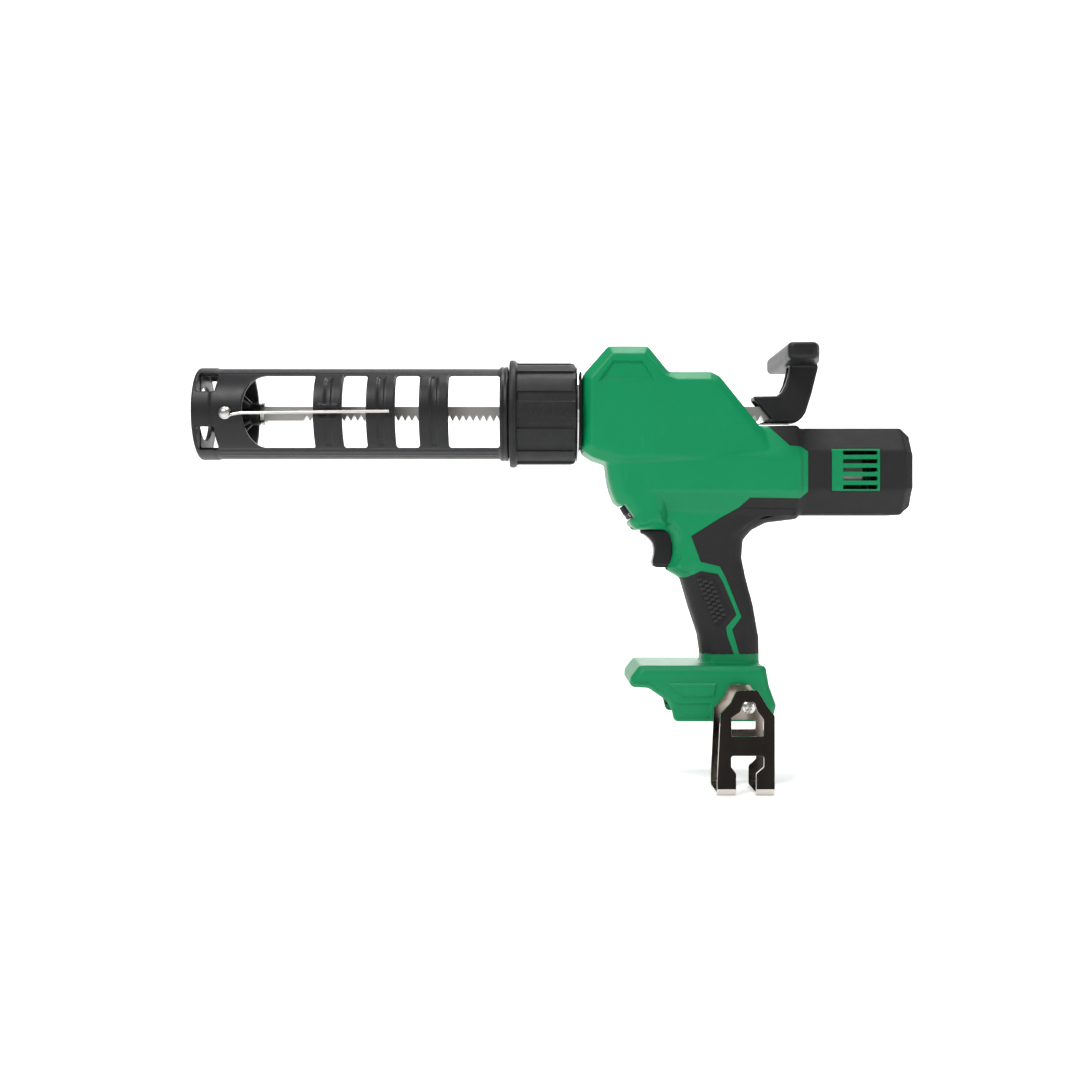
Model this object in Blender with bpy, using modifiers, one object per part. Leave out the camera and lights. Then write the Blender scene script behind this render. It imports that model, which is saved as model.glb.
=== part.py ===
"""A battery caulking gun for 300 ml cartridges, as an assembly of its separate pieces.

+Z is up and -X points to the nozzle end. The origin is on the underside of the battery foot,
midway between its sides. Sizes are in millimetres, turned into metres by MM.
"""

import math

import bmesh
import bpy
from mathutils import Matrix, Vector

MM = 0.001
GAP = 0.3                      # clearance kept between neighbouring pieces

# Driving dimensions
AXIS_Z = 192.7                 # cartridge axis above the foot's underside
MOTOR_Z = 155.2                # motor and gearbox axis above the foot's underside
HOLDER_R = 28.8                # outer radius of the cartridge holder
HOLDER_BORE = 26.2             # its inner radius, for a 50 mm cartridge
HOLDER_FRONT = -326.5          # X of the front face of the nose cap
COLLAR_FRONT = -129.4
FLUTES = 12                    # grooves round the clamp collar
SKIN = 1.2                     # thickness of the soft overmould
SHELL = 3.0                    # overmould and housing wall together
RACK_TIP_Z = AXIS_Z - 4.4      # tips of the rack teeth
RACK_TOP_Z = AXIS_Z + 4.4
RACK_HALF = 4.0                # half the rack's width in Y
RACK_MODULE = 1.375
RACK_GAPS = range(-52, 16)     # gaps between the rack teeth, counted from the pinion
RACK_FRONT, RACK_BACK = -299.5, 50.0
STEEP = math.radians(25)       # pressure angle of every gear, steep enough for 12 teeth
BACKLASH = 0.16

RACK_PITCH_Z = RACK_TIP_Z + RACK_MODULE
PINION_TEETH = 12
PINION_R = RACK_MODULE * PINION_TEETH / 2
OUTPUT_X, OUTPUT_Z = -34.0, RACK_PITCH_Z - PINION_R
SPUR_MODULE, SPUR_SMALL, SPUR_LARGE = 1.25, 14, 30
SPUR_CENTRES = SPUR_MODULE * (SPUR_SMALL + SPUR_LARGE) / 2
CROSS_Z = MOTOR_Z
CROSS_X = OUTPUT_X - math.sqrt(SPUR_CENTRES ** 2 - (OUTPUT_Z - CROSS_Z) ** 2)
BEVEL_MODULE, BEVEL_SMALL, BEVEL_LARGE, BEVEL_FACE = 1.5, 10, 20, 5.0
PLANET_MODULE, SUN_TEETH, PLANET_TEETH, RING_TEETH = 0.8, 12, 15, 42
STAGE_X, STAGE_WIDTH = 28.0, 7.0
MOTOR_SHAFT_R = 2.5
FAN_BLADES = 9
BEVEL_BACK = 3.0
CARRIER_FRONT = CROSS_X + BEVEL_MODULE * BEVEL_LARGE / 2 + BEVEL_BACK + GAP


# ---------------------------------------------------------------- scene and materials

def clear_scene():
    for obj in list(bpy.data.objects):
        bpy.data.objects.remove(obj)


def new_collection(name, hidden=False):
    made = bpy.data.collections.new(name)
    made.hide_render = hidden
    bpy.context.scene.collection.children.link(made)
    return made


def new_material(name, colour, roughness, metallic=0.0):
    made = bpy.data.materials.new(name)
    made.use_nodes = True
    shader = made.node_tree.nodes["Principled BSDF"]
    shader.inputs["Base Color"].default_value = (*colour, 1)
    shader.inputs["Roughness"].default_value = roughness
    shader.inputs["Metallic"].default_value = metallic
    return made


clear_scene()
PARTS = new_collection("caulking_gun")
CUTTERS = new_collection("cutters", hidden=True)

GREEN = new_material("green_nylon", (0.0, 0.28, 0.12), 0.45)
SOFT_BLACK = new_material("soft_overmould", (0.03, 0.03, 0.032), 0.75)
BLACK = new_material("black_nylon", (0.025, 0.025, 0.027), 0.5)
STEEL = new_material("plated_steel", (0.6, 0.6, 0.58), 0.35, 1.0)
DARK_STEEL = new_material("black_chrome", (0.05, 0.05, 0.055), 0.1, 1.0)
ALUMINIUM = new_material("cast_aluminium", (0.5, 0.5, 0.5), 0.45, 1.0)
COPPER = new_material("copper", (0.7, 0.3, 0.15), 0.35, 1.0)


# ---------------------------------------------------------------- solid building

def place(obj, collection, material=None):
    """Moves obj into a collection, and shows a cutter as wire."""
    for holder in list(obj.users_collection):
        holder.objects.unlink(obj)
    collection.objects.link(obj)
    if collection is CUTTERS:
        obj.hide_render = True
        obj.display_type = "WIRE"
    if material:
        obj.data.materials.clear()
        obj.data.materials.append(material)
    return obj


def mesh_object(name, bm, at=(0, 0, 0)):
    """A new object from a bmesh in millimetres, with its origin at the point given."""
    bmesh.ops.recalc_face_normals(bm, faces=bm.faces)
    if bm.calc_volume(signed=True) < 0:
        bmesh.ops.reverse_faces(bm, faces=bm.faces)
    bmesh.ops.scale(bm, vec=(MM, MM, MM), verts=bm.verts)
    data = bpy.data.meshes.new(name)
    bm.to_mesh(data)
    bm.free()
    obj = bpy.data.objects.new(name, data)
    obj.location = Vector(at) * MM
    return place(obj, CUTTERS)


def outline_solid(name, loops, depth, at=(0, 0, 0), across="Y"):
    """A flat outline made solid. across Y: loops are (x, z). X: (y, z). Z: (x, y).

    The first loop is the outside and the others are holes. It is depth thick, centred on the point at.
    """
    curve = bpy.data.curves.new(name, "CURVE")
    curve.dimensions = "2D"
    curve.fill_mode = "BOTH"
    curve.extrude = depth / 2 * MM
    for loop in loops:
        spline = curve.splines.new("POLY")
        spline.points.add(len(loop) - 1)
        for point, (u, v) in zip(spline.points, loop):
            point.co = (u * MM, v * MM, 0, 1)
        spline.use_cyclic_u = True
    drawn = bpy.data.objects.new(name, curve)
    bpy.context.scene.collection.objects.link(drawn)
    bpy.context.view_layer.update()
    data = bpy.data.meshes.new_from_object(drawn.evaluated_get(bpy.context.evaluated_depsgraph_get()))
    bpy.data.objects.remove(drawn)
    turn = Matrix.Rotation(math.pi / 2, 4, "X")
    if across == "X":
        turn = Matrix(((0, 0, 1, 0), (1, 0, 0, 0), (0, 1, 0, 0), (0, 0, 0, 1)))
    if across == "Z":
        turn = Matrix.Identity(4)
    data.transform(turn)
    bm = bmesh.new()
    bm.from_mesh(data)
    bmesh.ops.remove_doubles(bm, verts=bm.verts, dist=1e-6)
    if len(loops) == 1:
        bmesh.ops.dissolve_limit(bm, angle_limit=0.01, verts=bm.verts, edges=bm.edges)
    bmesh.ops.recalc_face_normals(bm, faces=bm.faces)
    bm.to_mesh(data)
    bm.free()
    data.name = name
    obj = bpy.data.objects.new(name, data)
    obj.location = Vector(at) * MM
    return place(obj, CUTTERS)


def box(name, low, high):
    bm = bmesh.new()
    bmesh.ops.create_cube(bm, size=1)
    size = [b - a for a, b in zip(low, high)]
    bmesh.ops.scale(bm, vec=size, verts=bm.verts)
    centre = [(a + b) / 2 for a, b in zip(low, high)]
    return mesh_object(name, bm, centre)


AXES = {"X": Matrix.Rotation(math.pi / 2, 4, "Y"), "Y": Matrix.Rotation(-math.pi / 2, 4, "X"),
        "Z": Matrix.Identity(4)}


def cylinder(name, radius, low, high, at, axis="Y", sides=20):
    """A cylinder along an axis from low to high, measured from the point at."""
    bm = bmesh.new()
    move = Matrix.Translation((0, 0, (low + high) / 2))
    bmesh.ops.create_cone(bm, cap_ends=True, segments=sides, radius1=radius, radius2=radius,
                          depth=high - low, matrix=AXES[axis] @ move)
    return mesh_object(name, bm, at)


def turned(name, profile, at, axis="X", steps=24):
    """A closed (distance along the axis, radius) profile turned about the axis through at."""
    data = bpy.data.meshes.new(name)
    points = [(r * MM, 0, along * MM) for along, r in profile]
    data.from_pydata(points, [(i, (i + 1) % len(points)) for i in range(len(points))], [])
    obj = bpy.data.objects.new(name, data)
    bpy.context.scene.collection.objects.link(obj)
    screw = obj.modifiers.new("turn", "SCREW")
    screw.steps = screw.render_steps = steps
    screw.use_merge_vertices = True
    screw.merge_threshold = 1e-6
    freeze(obj)
    obj.data.transform(AXES[axis])
    bm = bmesh.new()
    bm.from_mesh(obj.data)
    bmesh.ops.remove_doubles(bm, verts=bm.verts, dist=1e-6)
    bmesh.ops.recalc_face_normals(bm, faces=bm.faces)
    bm.to_mesh(obj.data)
    bm.free()
    obj.location = Vector(at) * MM
    return place(obj, CUTTERS)


def tube(name, outer, inner, low, high, at, axis="X", steps=24):
    return turned(name, [(low, inner), (low, outer), (high, outer), (high, inner)], at, axis, steps)


def freeze(obj):
    """Replaces obj's mesh with what its modifiers make of it."""
    bpy.context.view_layer.update()
    data = bpy.data.meshes.new_from_object(obj.evaluated_get(bpy.context.evaluated_depsgraph_get()))
    obj.modifiers.clear()
    obj.data = data
    return obj


def combine(obj, other, operation, keep=False):
    """Joins, cuts or intersects obj with another solid, which is removed unless it is kept."""
    cut = obj.modifiers.new(operation.lower(), "BOOLEAN")
    cut.operation = operation
    cut.solver = "MANIFOLD"      # the exact solver leaves gaps where these many sections meet
    cut.object = other
    freeze(obj)
    if not keep:
        bpy.data.objects.remove(other)
    return obj


def join(obj, *others):
    for other in others:
        combine(obj, other, "UNION")
    return obj


def cut(obj, *others, keep=False):
    for other in others:
        combine(obj, other, "DIFFERENCE", keep)
    return obj


def bevel(obj, width, segments=1, angle=40):
    """Bevels edges sharper than the angle."""
    edge = obj.modifiers.new("bevel", "BEVEL")
    edge.width = width * MM
    edge.segments = segments
    edge.limit_method = "ANGLE"
    edge.angle_limit = math.radians(angle)
    return freeze(obj)


def bevel_rims(obj, axis, width, segments):
    """Bevels the edges round the two flat ends that a solid has on an axis: 0 for X, 1 for Y."""
    ends = [corner[axis] for corner in obj.bound_box]
    weights = obj.data.attributes.new("bevel_weight_edge", "FLOAT", "EDGE")
    for edge in obj.data.edges:
        a, b = (obj.data.vertices[i].co[axis] for i in edge.vertices)
        if any(max(abs(a - end), abs(b - end)) < 1e-6 for end in ends):
            weights.data[edge.index].value = 1.0
    rim = obj.modifiers.new("bevel", "BEVEL")
    rim.width = width * MM
    rim.segments = segments
    rim.limit_method = "WEIGHT"
    return freeze(obj)


def copy_of(obj, name):
    made = obj.copy()
    made.data = obj.data.copy()
    made.name = name
    CUTTERS.objects.link(made)
    return made


def piece(obj, name, material, origin=None, smooth=30):
    """Makes obj a named piece of the gun. origin, in millimetres, is a point on its joint's axis."""
    if origin is not None:
        shift = obj.location - Vector(origin) * MM
        obj.data.transform(Matrix.Translation(shift))
        obj.location = Vector(origin) * MM
    obj.name = name
    obj.data.name = name
    obj.hide_render = False
    obj.display_type = "TEXTURED"
    obj.data.shade_smooth()
    obj.data.set_sharp_from_angle(angle=math.radians(smooth))
    return place(obj, PARTS, material)


def arc(centre, radius, start, end, count, squash=1.0):
    """Points on an arc, angles in degrees. squash scales the first coordinate, for an ellipse."""
    turns = [math.radians(start + (end - start) * i / (count - 1)) for i in range(count)]
    return [(centre[0] + radius * squash * math.cos(a), centre[1] + radius * math.sin(a)) for a in turns]


def inset(loop, distance):
    """The closed outline moved inwards by a distance."""
    area = sum(loop[i - 1][0] * p[1] - p[0] * loop[i - 1][1] for i, p in enumerate(loop))
    if area < 0:
        loop = list(reversed(loop))
    made = []
    for i, point in enumerate(loop):
        before = Vector(loop[i - 1])
        here = Vector(point)
        after = Vector(loop[(i + 1) % len(loop)])
        a = (here - before).normalized()
        b = (after - here).normalized()
        normal_a = Vector((-a.y, a.x))
        normal_b = Vector((-b.y, b.x))
        bisector = (normal_a + normal_b).normalized()
        made.append(tuple(here + bisector * (distance / max(0.35, bisector.dot(normal_a)))))
    return made


# ---------------------------------------------------------------- gears

def involute(angle):
    return math.tan(angle) - angle


def gear_loop(teeth, module, phase=0.0, above=1.0, below=1.25, slack=BACKLASH, points=3):
    """The outline of a spur gear about the origin, with one tooth centred on the angle phase.

    above and below are the tooth's height outside and inside the pitch circle, in modules. The
    slack is taken off the tooth's thickness; a negative slack gives the hole of a ring gear.
    """
    pitch_r = module * teeth / 2
    base_r = pitch_r * math.cos(STEEP)
    root_r = pitch_r - below * module
    tip_r = pitch_r + above * module
    at_pitch = math.pi / (2 * teeth) - slack / (2 * pitch_r)
    low = max(base_r, root_r)
    radii = [low + (tip_r - low) * i / (points - 1) for i in range(points)]
    flank = [(r, at_pitch + involute(STEEP) - involute(math.acos(base_r / r))) for r in radii]
    if root_r < low - 0.05:
        flank.insert(0, (root_r, flank[0][1]))
    loop = []
    for tooth in range(teeth):
        middle = phase + 2 * math.pi * tooth / teeth
        for r, half in flank:
            loop.append((r * math.cos(middle - half), r * math.sin(middle - half)))
        for r, half in reversed(flank):
            loop.append((r * math.cos(middle + half), r * math.sin(middle + half)))
    return loop


def circle(radius, sides=20, centre=(0, 0)):
    steps = [2 * math.pi * i / sides for i in range(sides)]
    return [(centre[0] + radius * math.cos(a), centre[1] + radius * math.sin(a)) for a in steps]


def bevel_gear(name, teeth, mate, module, face, phase, back):
    """A straight bevel gear about +Z, its pitch cone's apex at the origin and its teeth above it.

    The tooth form is drawn on the back cone, and each end of the tooth is a copy scaled towards
    the apex. back is the thickness of solid metal behind the teeth.
    """
    cone = math.atan2(teeth, mate)
    radius = module * teeth / 2
    distance = radius / math.sin(cone)
    virtual_r = radius / math.cos(cone)
    virtual = teeth / math.cos(cone)
    base_r = virtual_r * math.cos(STEEP)
    at_pitch = math.pi / (2 * virtual) - 1.5 * BACKLASH / (2 * virtual_r)
    low = max(base_r, virtual_r - 1.25 * module)
    flank = [(virtual_r - 1.3 * module, at_pitch + involute(STEEP))]
    for r in (low, virtual_r + 0.9 * module):
        flank.append((r, at_pitch + involute(STEEP) - involute(math.acos(min(1, base_r / r)))))
    flank[0] = (flank[0][0], flank[1][1])
    loop = []
    for tooth in range(teeth):
        middle = phase + 2 * math.pi * tooth / teeth
        for side, forms in ((-1, flank), (1, list(reversed(flank)))):
            for r, half in forms:
                height = r - virtual_r
                turn = middle + side * half / math.cos(cone)
                out = radius + height * math.cos(cone)
                up = distance * math.cos(cone) - height * math.sin(cone)
                loop.append(Vector((out * math.cos(turn), out * math.sin(turn), up)))
    shrink = (distance - face) / distance
    bm = bmesh.new()
    outer = [bm.verts.new(p) for p in loop]
    inner = [bm.verts.new(p * shrink) for p in loop]
    back_z = distance * math.cos(cone) + back
    rim = min(v.co.xy.length for v in outer)
    rear = []
    for v in outer:
        reach = rim / v.co.xy.length
        rear.append(bm.verts.new((reach * v.co.x, reach * v.co.y, back_z)))
    front_z = min(v.co.z for v in inner) - 0.2
    nose = bm.verts.new((0, 0, front_z))
    tail = bm.verts.new((0, 0, back_z))
    for i in range(len(outer)):
        j = (i + 1) % len(outer)
        bm.faces.new((outer[i], outer[j], inner[j], inner[i]))
        bm.faces.new((rear[i], rear[j], outer[j], outer[i]))
        bm.faces.new((inner[i], inner[j], nose))
        bm.faces.new((rear[j], rear[i], tail))
    return mesh_object(name, bm)


def turn_into_place(obj, matrix, at):
    """Turns obj's mesh by a matrix and moves its origin to a point."""
    obj.data.transform(matrix)
    obj.location = Vector(at) * MM
    return obj


# ---------------------------------------------------------------- the gun body's outlines
# Each section is an outline seen from the side, anticlockwise, with half its width in Y and the
# width of the chamfer along its edges.

HEAD = [(-83.8, 168.4), (-77.2, 163.8), (-60.0, 158.0), (34.0, 158.0), (36.0, 184.2), (26.5, 184.2),
        (2.5, 214.4), (-3.0, 217.3), (-29.6, 217.3), (-42.5, 233.3), (-67.5, 233.3), (-81.8, 217.0),
        (-83.8, 214.0)]
CHIN = [(-68.9, 163.0), (-67.3, 149.9), (-65.5, 142.4), (-62.6, 136.5), (-53.0, 129.5),
        (-30.0, 129.5), (-30.0, 176.0), (-68.9, 176.0)]
GRIP = [(-50.6, 118.6), (-30.0, 118.6), (-25.6, 104.0), (-30.4, 94.0), (-20.4, 88.6), (-15.0, 69.1),
        (-9.3, 52.0), (-7.8, 31.0), (29.4, 31.0), (28.8, 50.3), (25.2, 71.0), (17.9, 99.0),
        (18.8, 112.2), (25.0, 118.8), (36.0, 123.6), (54.0, 125.6), (54.0, 138.0), (-60.0, 138.0),
        (-52.2, 124.4)]
FOOT = [(-54.6, 21.4), (-43.0, 20.6), (-31.4, 12.6), (-28.6, 7.0), (-27.0, 0.0), (33.4, 0.0),
        (36.0, 10.0), (31.6, 22.0), (29.4, 34.6), (-48.4, 34.8), (-54.2, 27.4)]
BARREL = [(-31.0, -13.2), (-20.0, -28.0), (20.0, -28.0), (31.0, -13.2), (31.0, 8.0), (21.0, 26.6),
          (-21.0, 26.6), (-31.0, 8.0)]
TAIL = [(-28.0, -12.0), (-16.0, -27.3), (16.0, -27.3), (28.0, -12.0), (28.0, 14.0), (16.0, 27.3),
        (-16.0, 27.3), (-28.0, 14.0)]
HEAD_HALF, CHIN_HALF, GRIP_HALF, FOOT_HALF = 27.5, 25.0, 18.5, 34.0
BARREL_X = (-56.0, 62.0)
TAIL_X = (41.0, 122.8)


def body_solid(name, depth):
    """The gun body's outer form, moved inwards by a depth: head, chin, barrel, tail, grip, foot."""
    made = []
    for loop, half, width, segments in ((HEAD, HEAD_HALF, 5.6, 1), (CHIN, CHIN_HALF, 8.0, 2),
                                        (GRIP, GRIP_HALF, 7.5, 2), (FOOT, FOOT_HALF, 3.5, 1)):
        part = outline_solid(name, [inset(loop, depth)], 2 * (half - depth))
        made.append(bevel_rims(part, 1, width - depth, segments))
    for loop, ends, width, segments in ((BARREL, BARREL_X, 7.0, 2), (TAIL, TAIL_X, 6.0, 1)):
        part = outline_solid(name, [inset(loop, depth)], ends[1] - ends[0] - 2 * depth,
                             at=(sum(ends) / 2, 0, MOTOR_Z), across="X")
        made.append(bevel_rims(part, 0, width - depth, segments))
    return join(*made)


# Where the soft overmould lies, as outlines seen from the side
SKINS = {
    "tail_skin": [(33.0, 200.0), (33.0, 183.3), (45.0, 170.8), (52.3, 170.1), (56.1, 167.0),
                  (56.1, 142.0), (51.5, 138.6), (20.6, 138.6), (14.6, 132.8), (49.0, 131.6),
                  (53.0, 116.0), (140.0, 100.0), (140.0, 200.0)],
    "rear_grip_skin": [(51.0, 110.0), (49.0, 131.6), (14.6, 132.8), (-13.5, 114.4), (-7.6, 98.4),
                       (3.0, 95.4), (8.0, 84.0), (15.2, 64.2), (10.0, 56.0), (15.0, 40.4),
                       (45.0, 40.4)],
    "front_grip_skin": [(-40.0, 40.4), (11.6, 40.4), (7.0, 52.0), (6.4, 57.0), (11.8, 65.0),
                        (5.0, 84.0), (1.0, 92.0), (-10.0, 94.0), (-19.0, 90.0), (-40.0, 90.0)],
}
VENT = (70.6, 101.0, 142.4, 167.4)      # the vent window in the tail skin: X from, to, Z from, to
VENT_SLOTS = 5


def region(loop, shrink=0.0):
    return outline_solid("region", [inset(loop, shrink)], 140)


def vent_window(grow=0.0):
    x0, x1, z0, z1 = VENT
    return box("vent", (x0 - grow, -60, z0 - grow), (x1 + grow, 60, z1 + grow))


def side_of(obj, side):
    """The half of a solid on one side of the parting plane: side -1 is the left, 1 the right."""
    half = copy_of(obj, "half")
    near, far = sorted((side * GAP / 2, side * 80))
    return combine(half, box("side", (-200, near, -20), (200, far, 300)), "INTERSECT")


# ---------------------------------------------------------------- housing

SCREWS = [(-57.0, 226.0), (-73.0, 176.0), (-4.0, 207.0), (-59.5, 143.0), (114.0, 155.2),
          (26.0, 127.0), (6.0, 66.0), (-40.0, 27.6)]
BOSS_R, SCREW_R, SCREW_HEAD_R = 4.6, 1.5, 3.0
BEARING_R, BEARING_INNER, BEARING_FROM, BEARING_TO = 8.0, 4.3, 18.0, 22.5
SHAFT_R = 4.0
CAN_R, CASE_R = 18.5, 22.4


def boss_reach(z):
    """How far a screw boss at a height reaches to each side."""
    if z < 35:
        return 30
    return 15 if z < 130 else 24


def inner_works(limit):
    """The bosses, ribs, bearing seats and battery rails inside the housing, trimmed to its wall."""
    works = box("roof", (-56, -40, -1), (40, 40, 15.4))
    for x, z in SCREWS:
        reach = boss_reach(z)
        join(works, cylinder("boss", BOSS_R, -reach - 8, reach + 8, (x, 0, z), sides=12))
    for x, z in ((OUTPUT_X, OUTPUT_Z), (CROSS_X, CROSS_Z)):
        for side in (-1, 1):
            ends = sorted((side * (BEARING_FROM - 1.5), side * 40))
            join(works, cylinder("seat", BEARING_R + 2.6, *ends, (x, 0, z), sides=16))
    for x in (-4, 46, 88):
        join(works, box("rib", (x, -34, 128), (x + 2.4, 34, 182)))
    combine(works, limit, "INTERSECT", keep=True)
    for x, z in ((OUTPUT_X, OUTPUT_Z), (CROSS_X, CROSS_Z)):
        reach = BEARING_TO + GAP
        cut(works, cylinder("seat_way", BEARING_R + GAP, -reach, reach, (x, 0, z), sides=20))
    cut(works, cylinder("case_way", CASE_R + GAP, -20, 37, (0, 0, MOTOR_Z), "X", 32))
    cut(works, cylinder("can_way", CAN_R + GAP, 37, 109, (0, 0, MOTOR_Z), "X", 32))
    return works


def rack_way():
    return box("rack_way", (-95, -RACK_HALF - 0.7, RACK_TIP_Z - 0.8),
               (60, RACK_HALF + 0.7, RACK_TOP_Z + 0.8))


def cut_screw_ways(solid):
    for x, z in SCREWS:
        reach = boss_reach(z)
        cut(solid, cylinder("screw_way", SCREW_R + GAP, -reach + 2, 60, (x, 0, z), sides=10))
        cut(solid, cylinder("head_way", SCREW_HEAD_R + GAP, reach - 6, 60, (x, 0, z), sides=12))
    return solid


def cut_openings(shell):
    """The ways through the housing: rod, trigger, dial, vents, battery and hook screw."""
    cut(shell, rack_way())
    cut(shell, cylinder("hub_way", 10.0, -95, -76.0, (0, 0, AXIS_Z), "X", 24))
    cut(shell, box("trigger_way", (-52, -8.4, 93.4), (-18, 8.4, 119.4)))
    cut(shell, dial_solid("dial_way", 0.5))
    x0, x1, z0, z1 = VENT
    slot = (z1 - z0 - 4) / (2 * VENT_SLOTS - 1)
    for i in range(VENT_SLOTS):
        low = z0 + 2 + i * 2 * slot
        cut(shell, box("slot", (x0 + 6, -60, low), (x1 - 3, 60, low + slot)))
    cut(shell, box("battery_way", (-60, -26, -5), (26, 26, 12.6)))
    cut(shell, box("rail_way", (-60, -29, 4.0), (26, 29, 9.0)))
    cut(shell, cylinder("hook_screw_way", 1.6 + GAP, -60, -26, (HOOK_SCREW[0], 0, HOOK_SCREW[1]), sides=10))
    cut_screw_ways(shell)


def housing_pieces():
    """The two halves of the housing, and the soft skins moulded over the tail and the grip."""
    shell = body_solid("shell", 0.0)
    under = body_solid("under", SKIN + GAP)
    under_skin = body_solid("under_skin", SKIN)
    for name, loop in SKINS.items():
        skin = combine(region(loop, GAP), shell, "INTERSECT", keep=True)
        cut(skin, under_skin, keep=True)
        if name == "tail_skin":
            cut(skin, vent_window())
        cut_screw_ways(skin)
        for side, word in ((-1, "left"), (1, "right")):
            piece(side_of(skin, side), f"{name}_{word}", SOFT_BLACK)
        bpy.data.objects.remove(skin)
    bpy.data.objects.remove(under_skin)
    vent = combine(vent_window(-GAP), shell, "INTERSECT", keep=True)
    for loop in SKINS.values():
        cut(shell, region(loop))
    works = inner_works(under)
    join(shell, vent, under)
    cut(shell, body_solid("core", SHELL))
    join(shell, works)
    cut_openings(shell)
    for side, word in ((-1, "left"), (1, "right")):
        piece(side_of(shell, side), f"housing_{word}", GREEN)
    bpy.data.objects.remove(shell)


def screw_pieces():
    for number, (x, z) in enumerate(SCREWS, 1):
        reach = boss_reach(z)
        screw = cylinder("screw", SCREW_R, -reach + 3, reach - 5.5, (x, 0, z), sides=8)
        head = cylinder("screw_head", SCREW_HEAD_R, reach - 5.7, reach - 3.2, (x, 0, z), sides=12)
        piece(join(head, screw), f"housing_screw_{number}", STEEL)


# ---------------------------------------------------------------- trigger, dial and electrics

TRIGGER = [(-45.9, 117.4), (-40.2, 115.1), (-37.0, 109.5), (-37.0, 102.0), (-38.1, 97.3),
           (-36.5, 94.9), (-27.0, 94.6), (-25.0, 97.0), (-25.0, 118.4), (-44.0, 118.4)]
DIAL_AXIS = Vector((0.507, 0, -0.862)).normalized()
DIAL_CENTRE = (-49.2, 0, 133.2)
DIAL_R, DIAL_HALF = 9.0, 4.65


def dial_solid(name, grow):
    bm = bmesh.new()
    turn = Vector((0, 0, 1)).rotation_difference(DIAL_AXIS).to_matrix().to_4x4()
    bmesh.ops.create_cone(bm, cap_ends=True, segments=28, radius1=DIAL_R + grow,
                          radius2=DIAL_R + grow, depth=2 * (DIAL_HALF + grow), matrix=turn)
    return mesh_object(name, bm, DIAL_CENTRE)


def control_pieces():
    trigger = outline_solid("trigger", [TRIGGER], 15.6)
    bevel(trigger, 2.0, 2, 50)
    join(trigger, cylinder("plunger", 2.2, -27, -16, (0, 0, 106), "X", 12))
    piece(trigger, "trigger", BLACK, origin=(-34, 0, 106))
    piece(bevel(dial_solid("dial", 0.0), 0.8, 1), "speed_dial", BLACK, origin=DIAL_CENTRE)
    switch = bevel(box("switch", (-17.0, -8, 96), (7, 8, 117)), 1.0)
    cut(switch, cylinder("plunger_way", 2.6, -20, -8, (0, 0, 106), "X", 12))
    piece(switch, "trigger_switch", BLACK)
    piece(box("board", (-25, -22, 18), (16, 22, 19.6)), "control_board", GREEN)
    block = box("block", (-12, -13, 0), (18, 13, 12.3))
    for side, word in ((-1, "left"), (1, "right")):
        middle = side * 8
        cut(block, box("slot", (-14, middle - 1.4, 2), (6, middle + 1.4, 10.2)))
        blade = box("blade", (-11, middle - 0.5, 3), (5.7, middle + 0.5, 9))
        piece(blade, f"battery_blade_{word}", COPPER)
    piece(block, "terminal_block", BLACK)


# ---------------------------------------------------------------- belt hook

HOOK_SCREW = (18.0, 9.7)
HOOK_NEAR, HOOK_FAR, HOOK_PLATE = -67.0, -34.3, 2.0
HOOK_BASE = -39.4
HOOK_OUTLINE = [(6.4, 23.4), (2.8, 15.8), (-3.3, 9.4), (-5.2, HOOK_BASE), (6.0, HOOK_BASE),
                (6.0, -26.0), (3.0, -22.0), (3.0, -15.5), (22.5, -15.5), (22.5, -22.0),
                (17.9, -26.0), (17.9, HOOK_BASE), (28.8, HOOK_BASE), (28.8, 8.1), (24.5, 13.5),
                (18.6, 23.4)]
HOOK_WINDOW = [(10.1, 16.2), (16.8, 16.2), (22.2, 6.3), (22.2, -4.1), (3.2, -4.1), (3.7, 7.2)]
HOOK_BACK_WINDOW = [(3.2, 2.0), (22.2, 2.0), (22.2, -4.1), (3.2, -4.1)]


def hook_pieces():
    """A plate bent into a deep U, open at the top, with two legs across its bottom."""
    hook = outline_solid("hook", [HOOK_OUTLINE, HOOK_WINDOW], HOOK_PLATE,
                         at=(0, HOOK_NEAR + HOOK_PLATE / 2, 0))
    back = outline_solid("back", [HOOK_OUTLINE, HOOK_BACK_WINDOW], HOOK_PLATE,
                         at=(0, HOOK_FAR - HOOK_PLATE / 2, 0))
    join(hook, back)
    for low, high in ((-5.2, 6.0), (17.9, 28.8)):
        join(hook, box("leg", (low, HOOK_NEAR, HOOK_BASE), (high, HOOK_FAR, HOOK_BASE + HOOK_PLATE)))
    x, z = HOOK_SCREW
    cut(hook, cylinder("hole", 1.6 + GAP, -40, -30, (x, 0, z), sides=12))
    piece(hook, "belt_hook", DARK_STEEL)
    screw = cylinder("screw_head", 4.0, -39.2, HOOK_FAR - HOOK_PLATE - GAP, (x, 0, z), sides=16)
    join(screw, cylinder("screw", 1.6, -37, -29.4, (x, 0, z), sides=10))
    piece(screw, "hook_screw", STEEL)


# ---------------------------------------------------------------- cartridge holder and collar

RAIL_Z = 22.5
BANDS = ((-250.8, -232.8), (-218.1, -199.9), (-185.3, -166.9))
ARCH_X = -282.0
RIVET = (-304.6, 190.7)
WIRE_Y = -31.0


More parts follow.
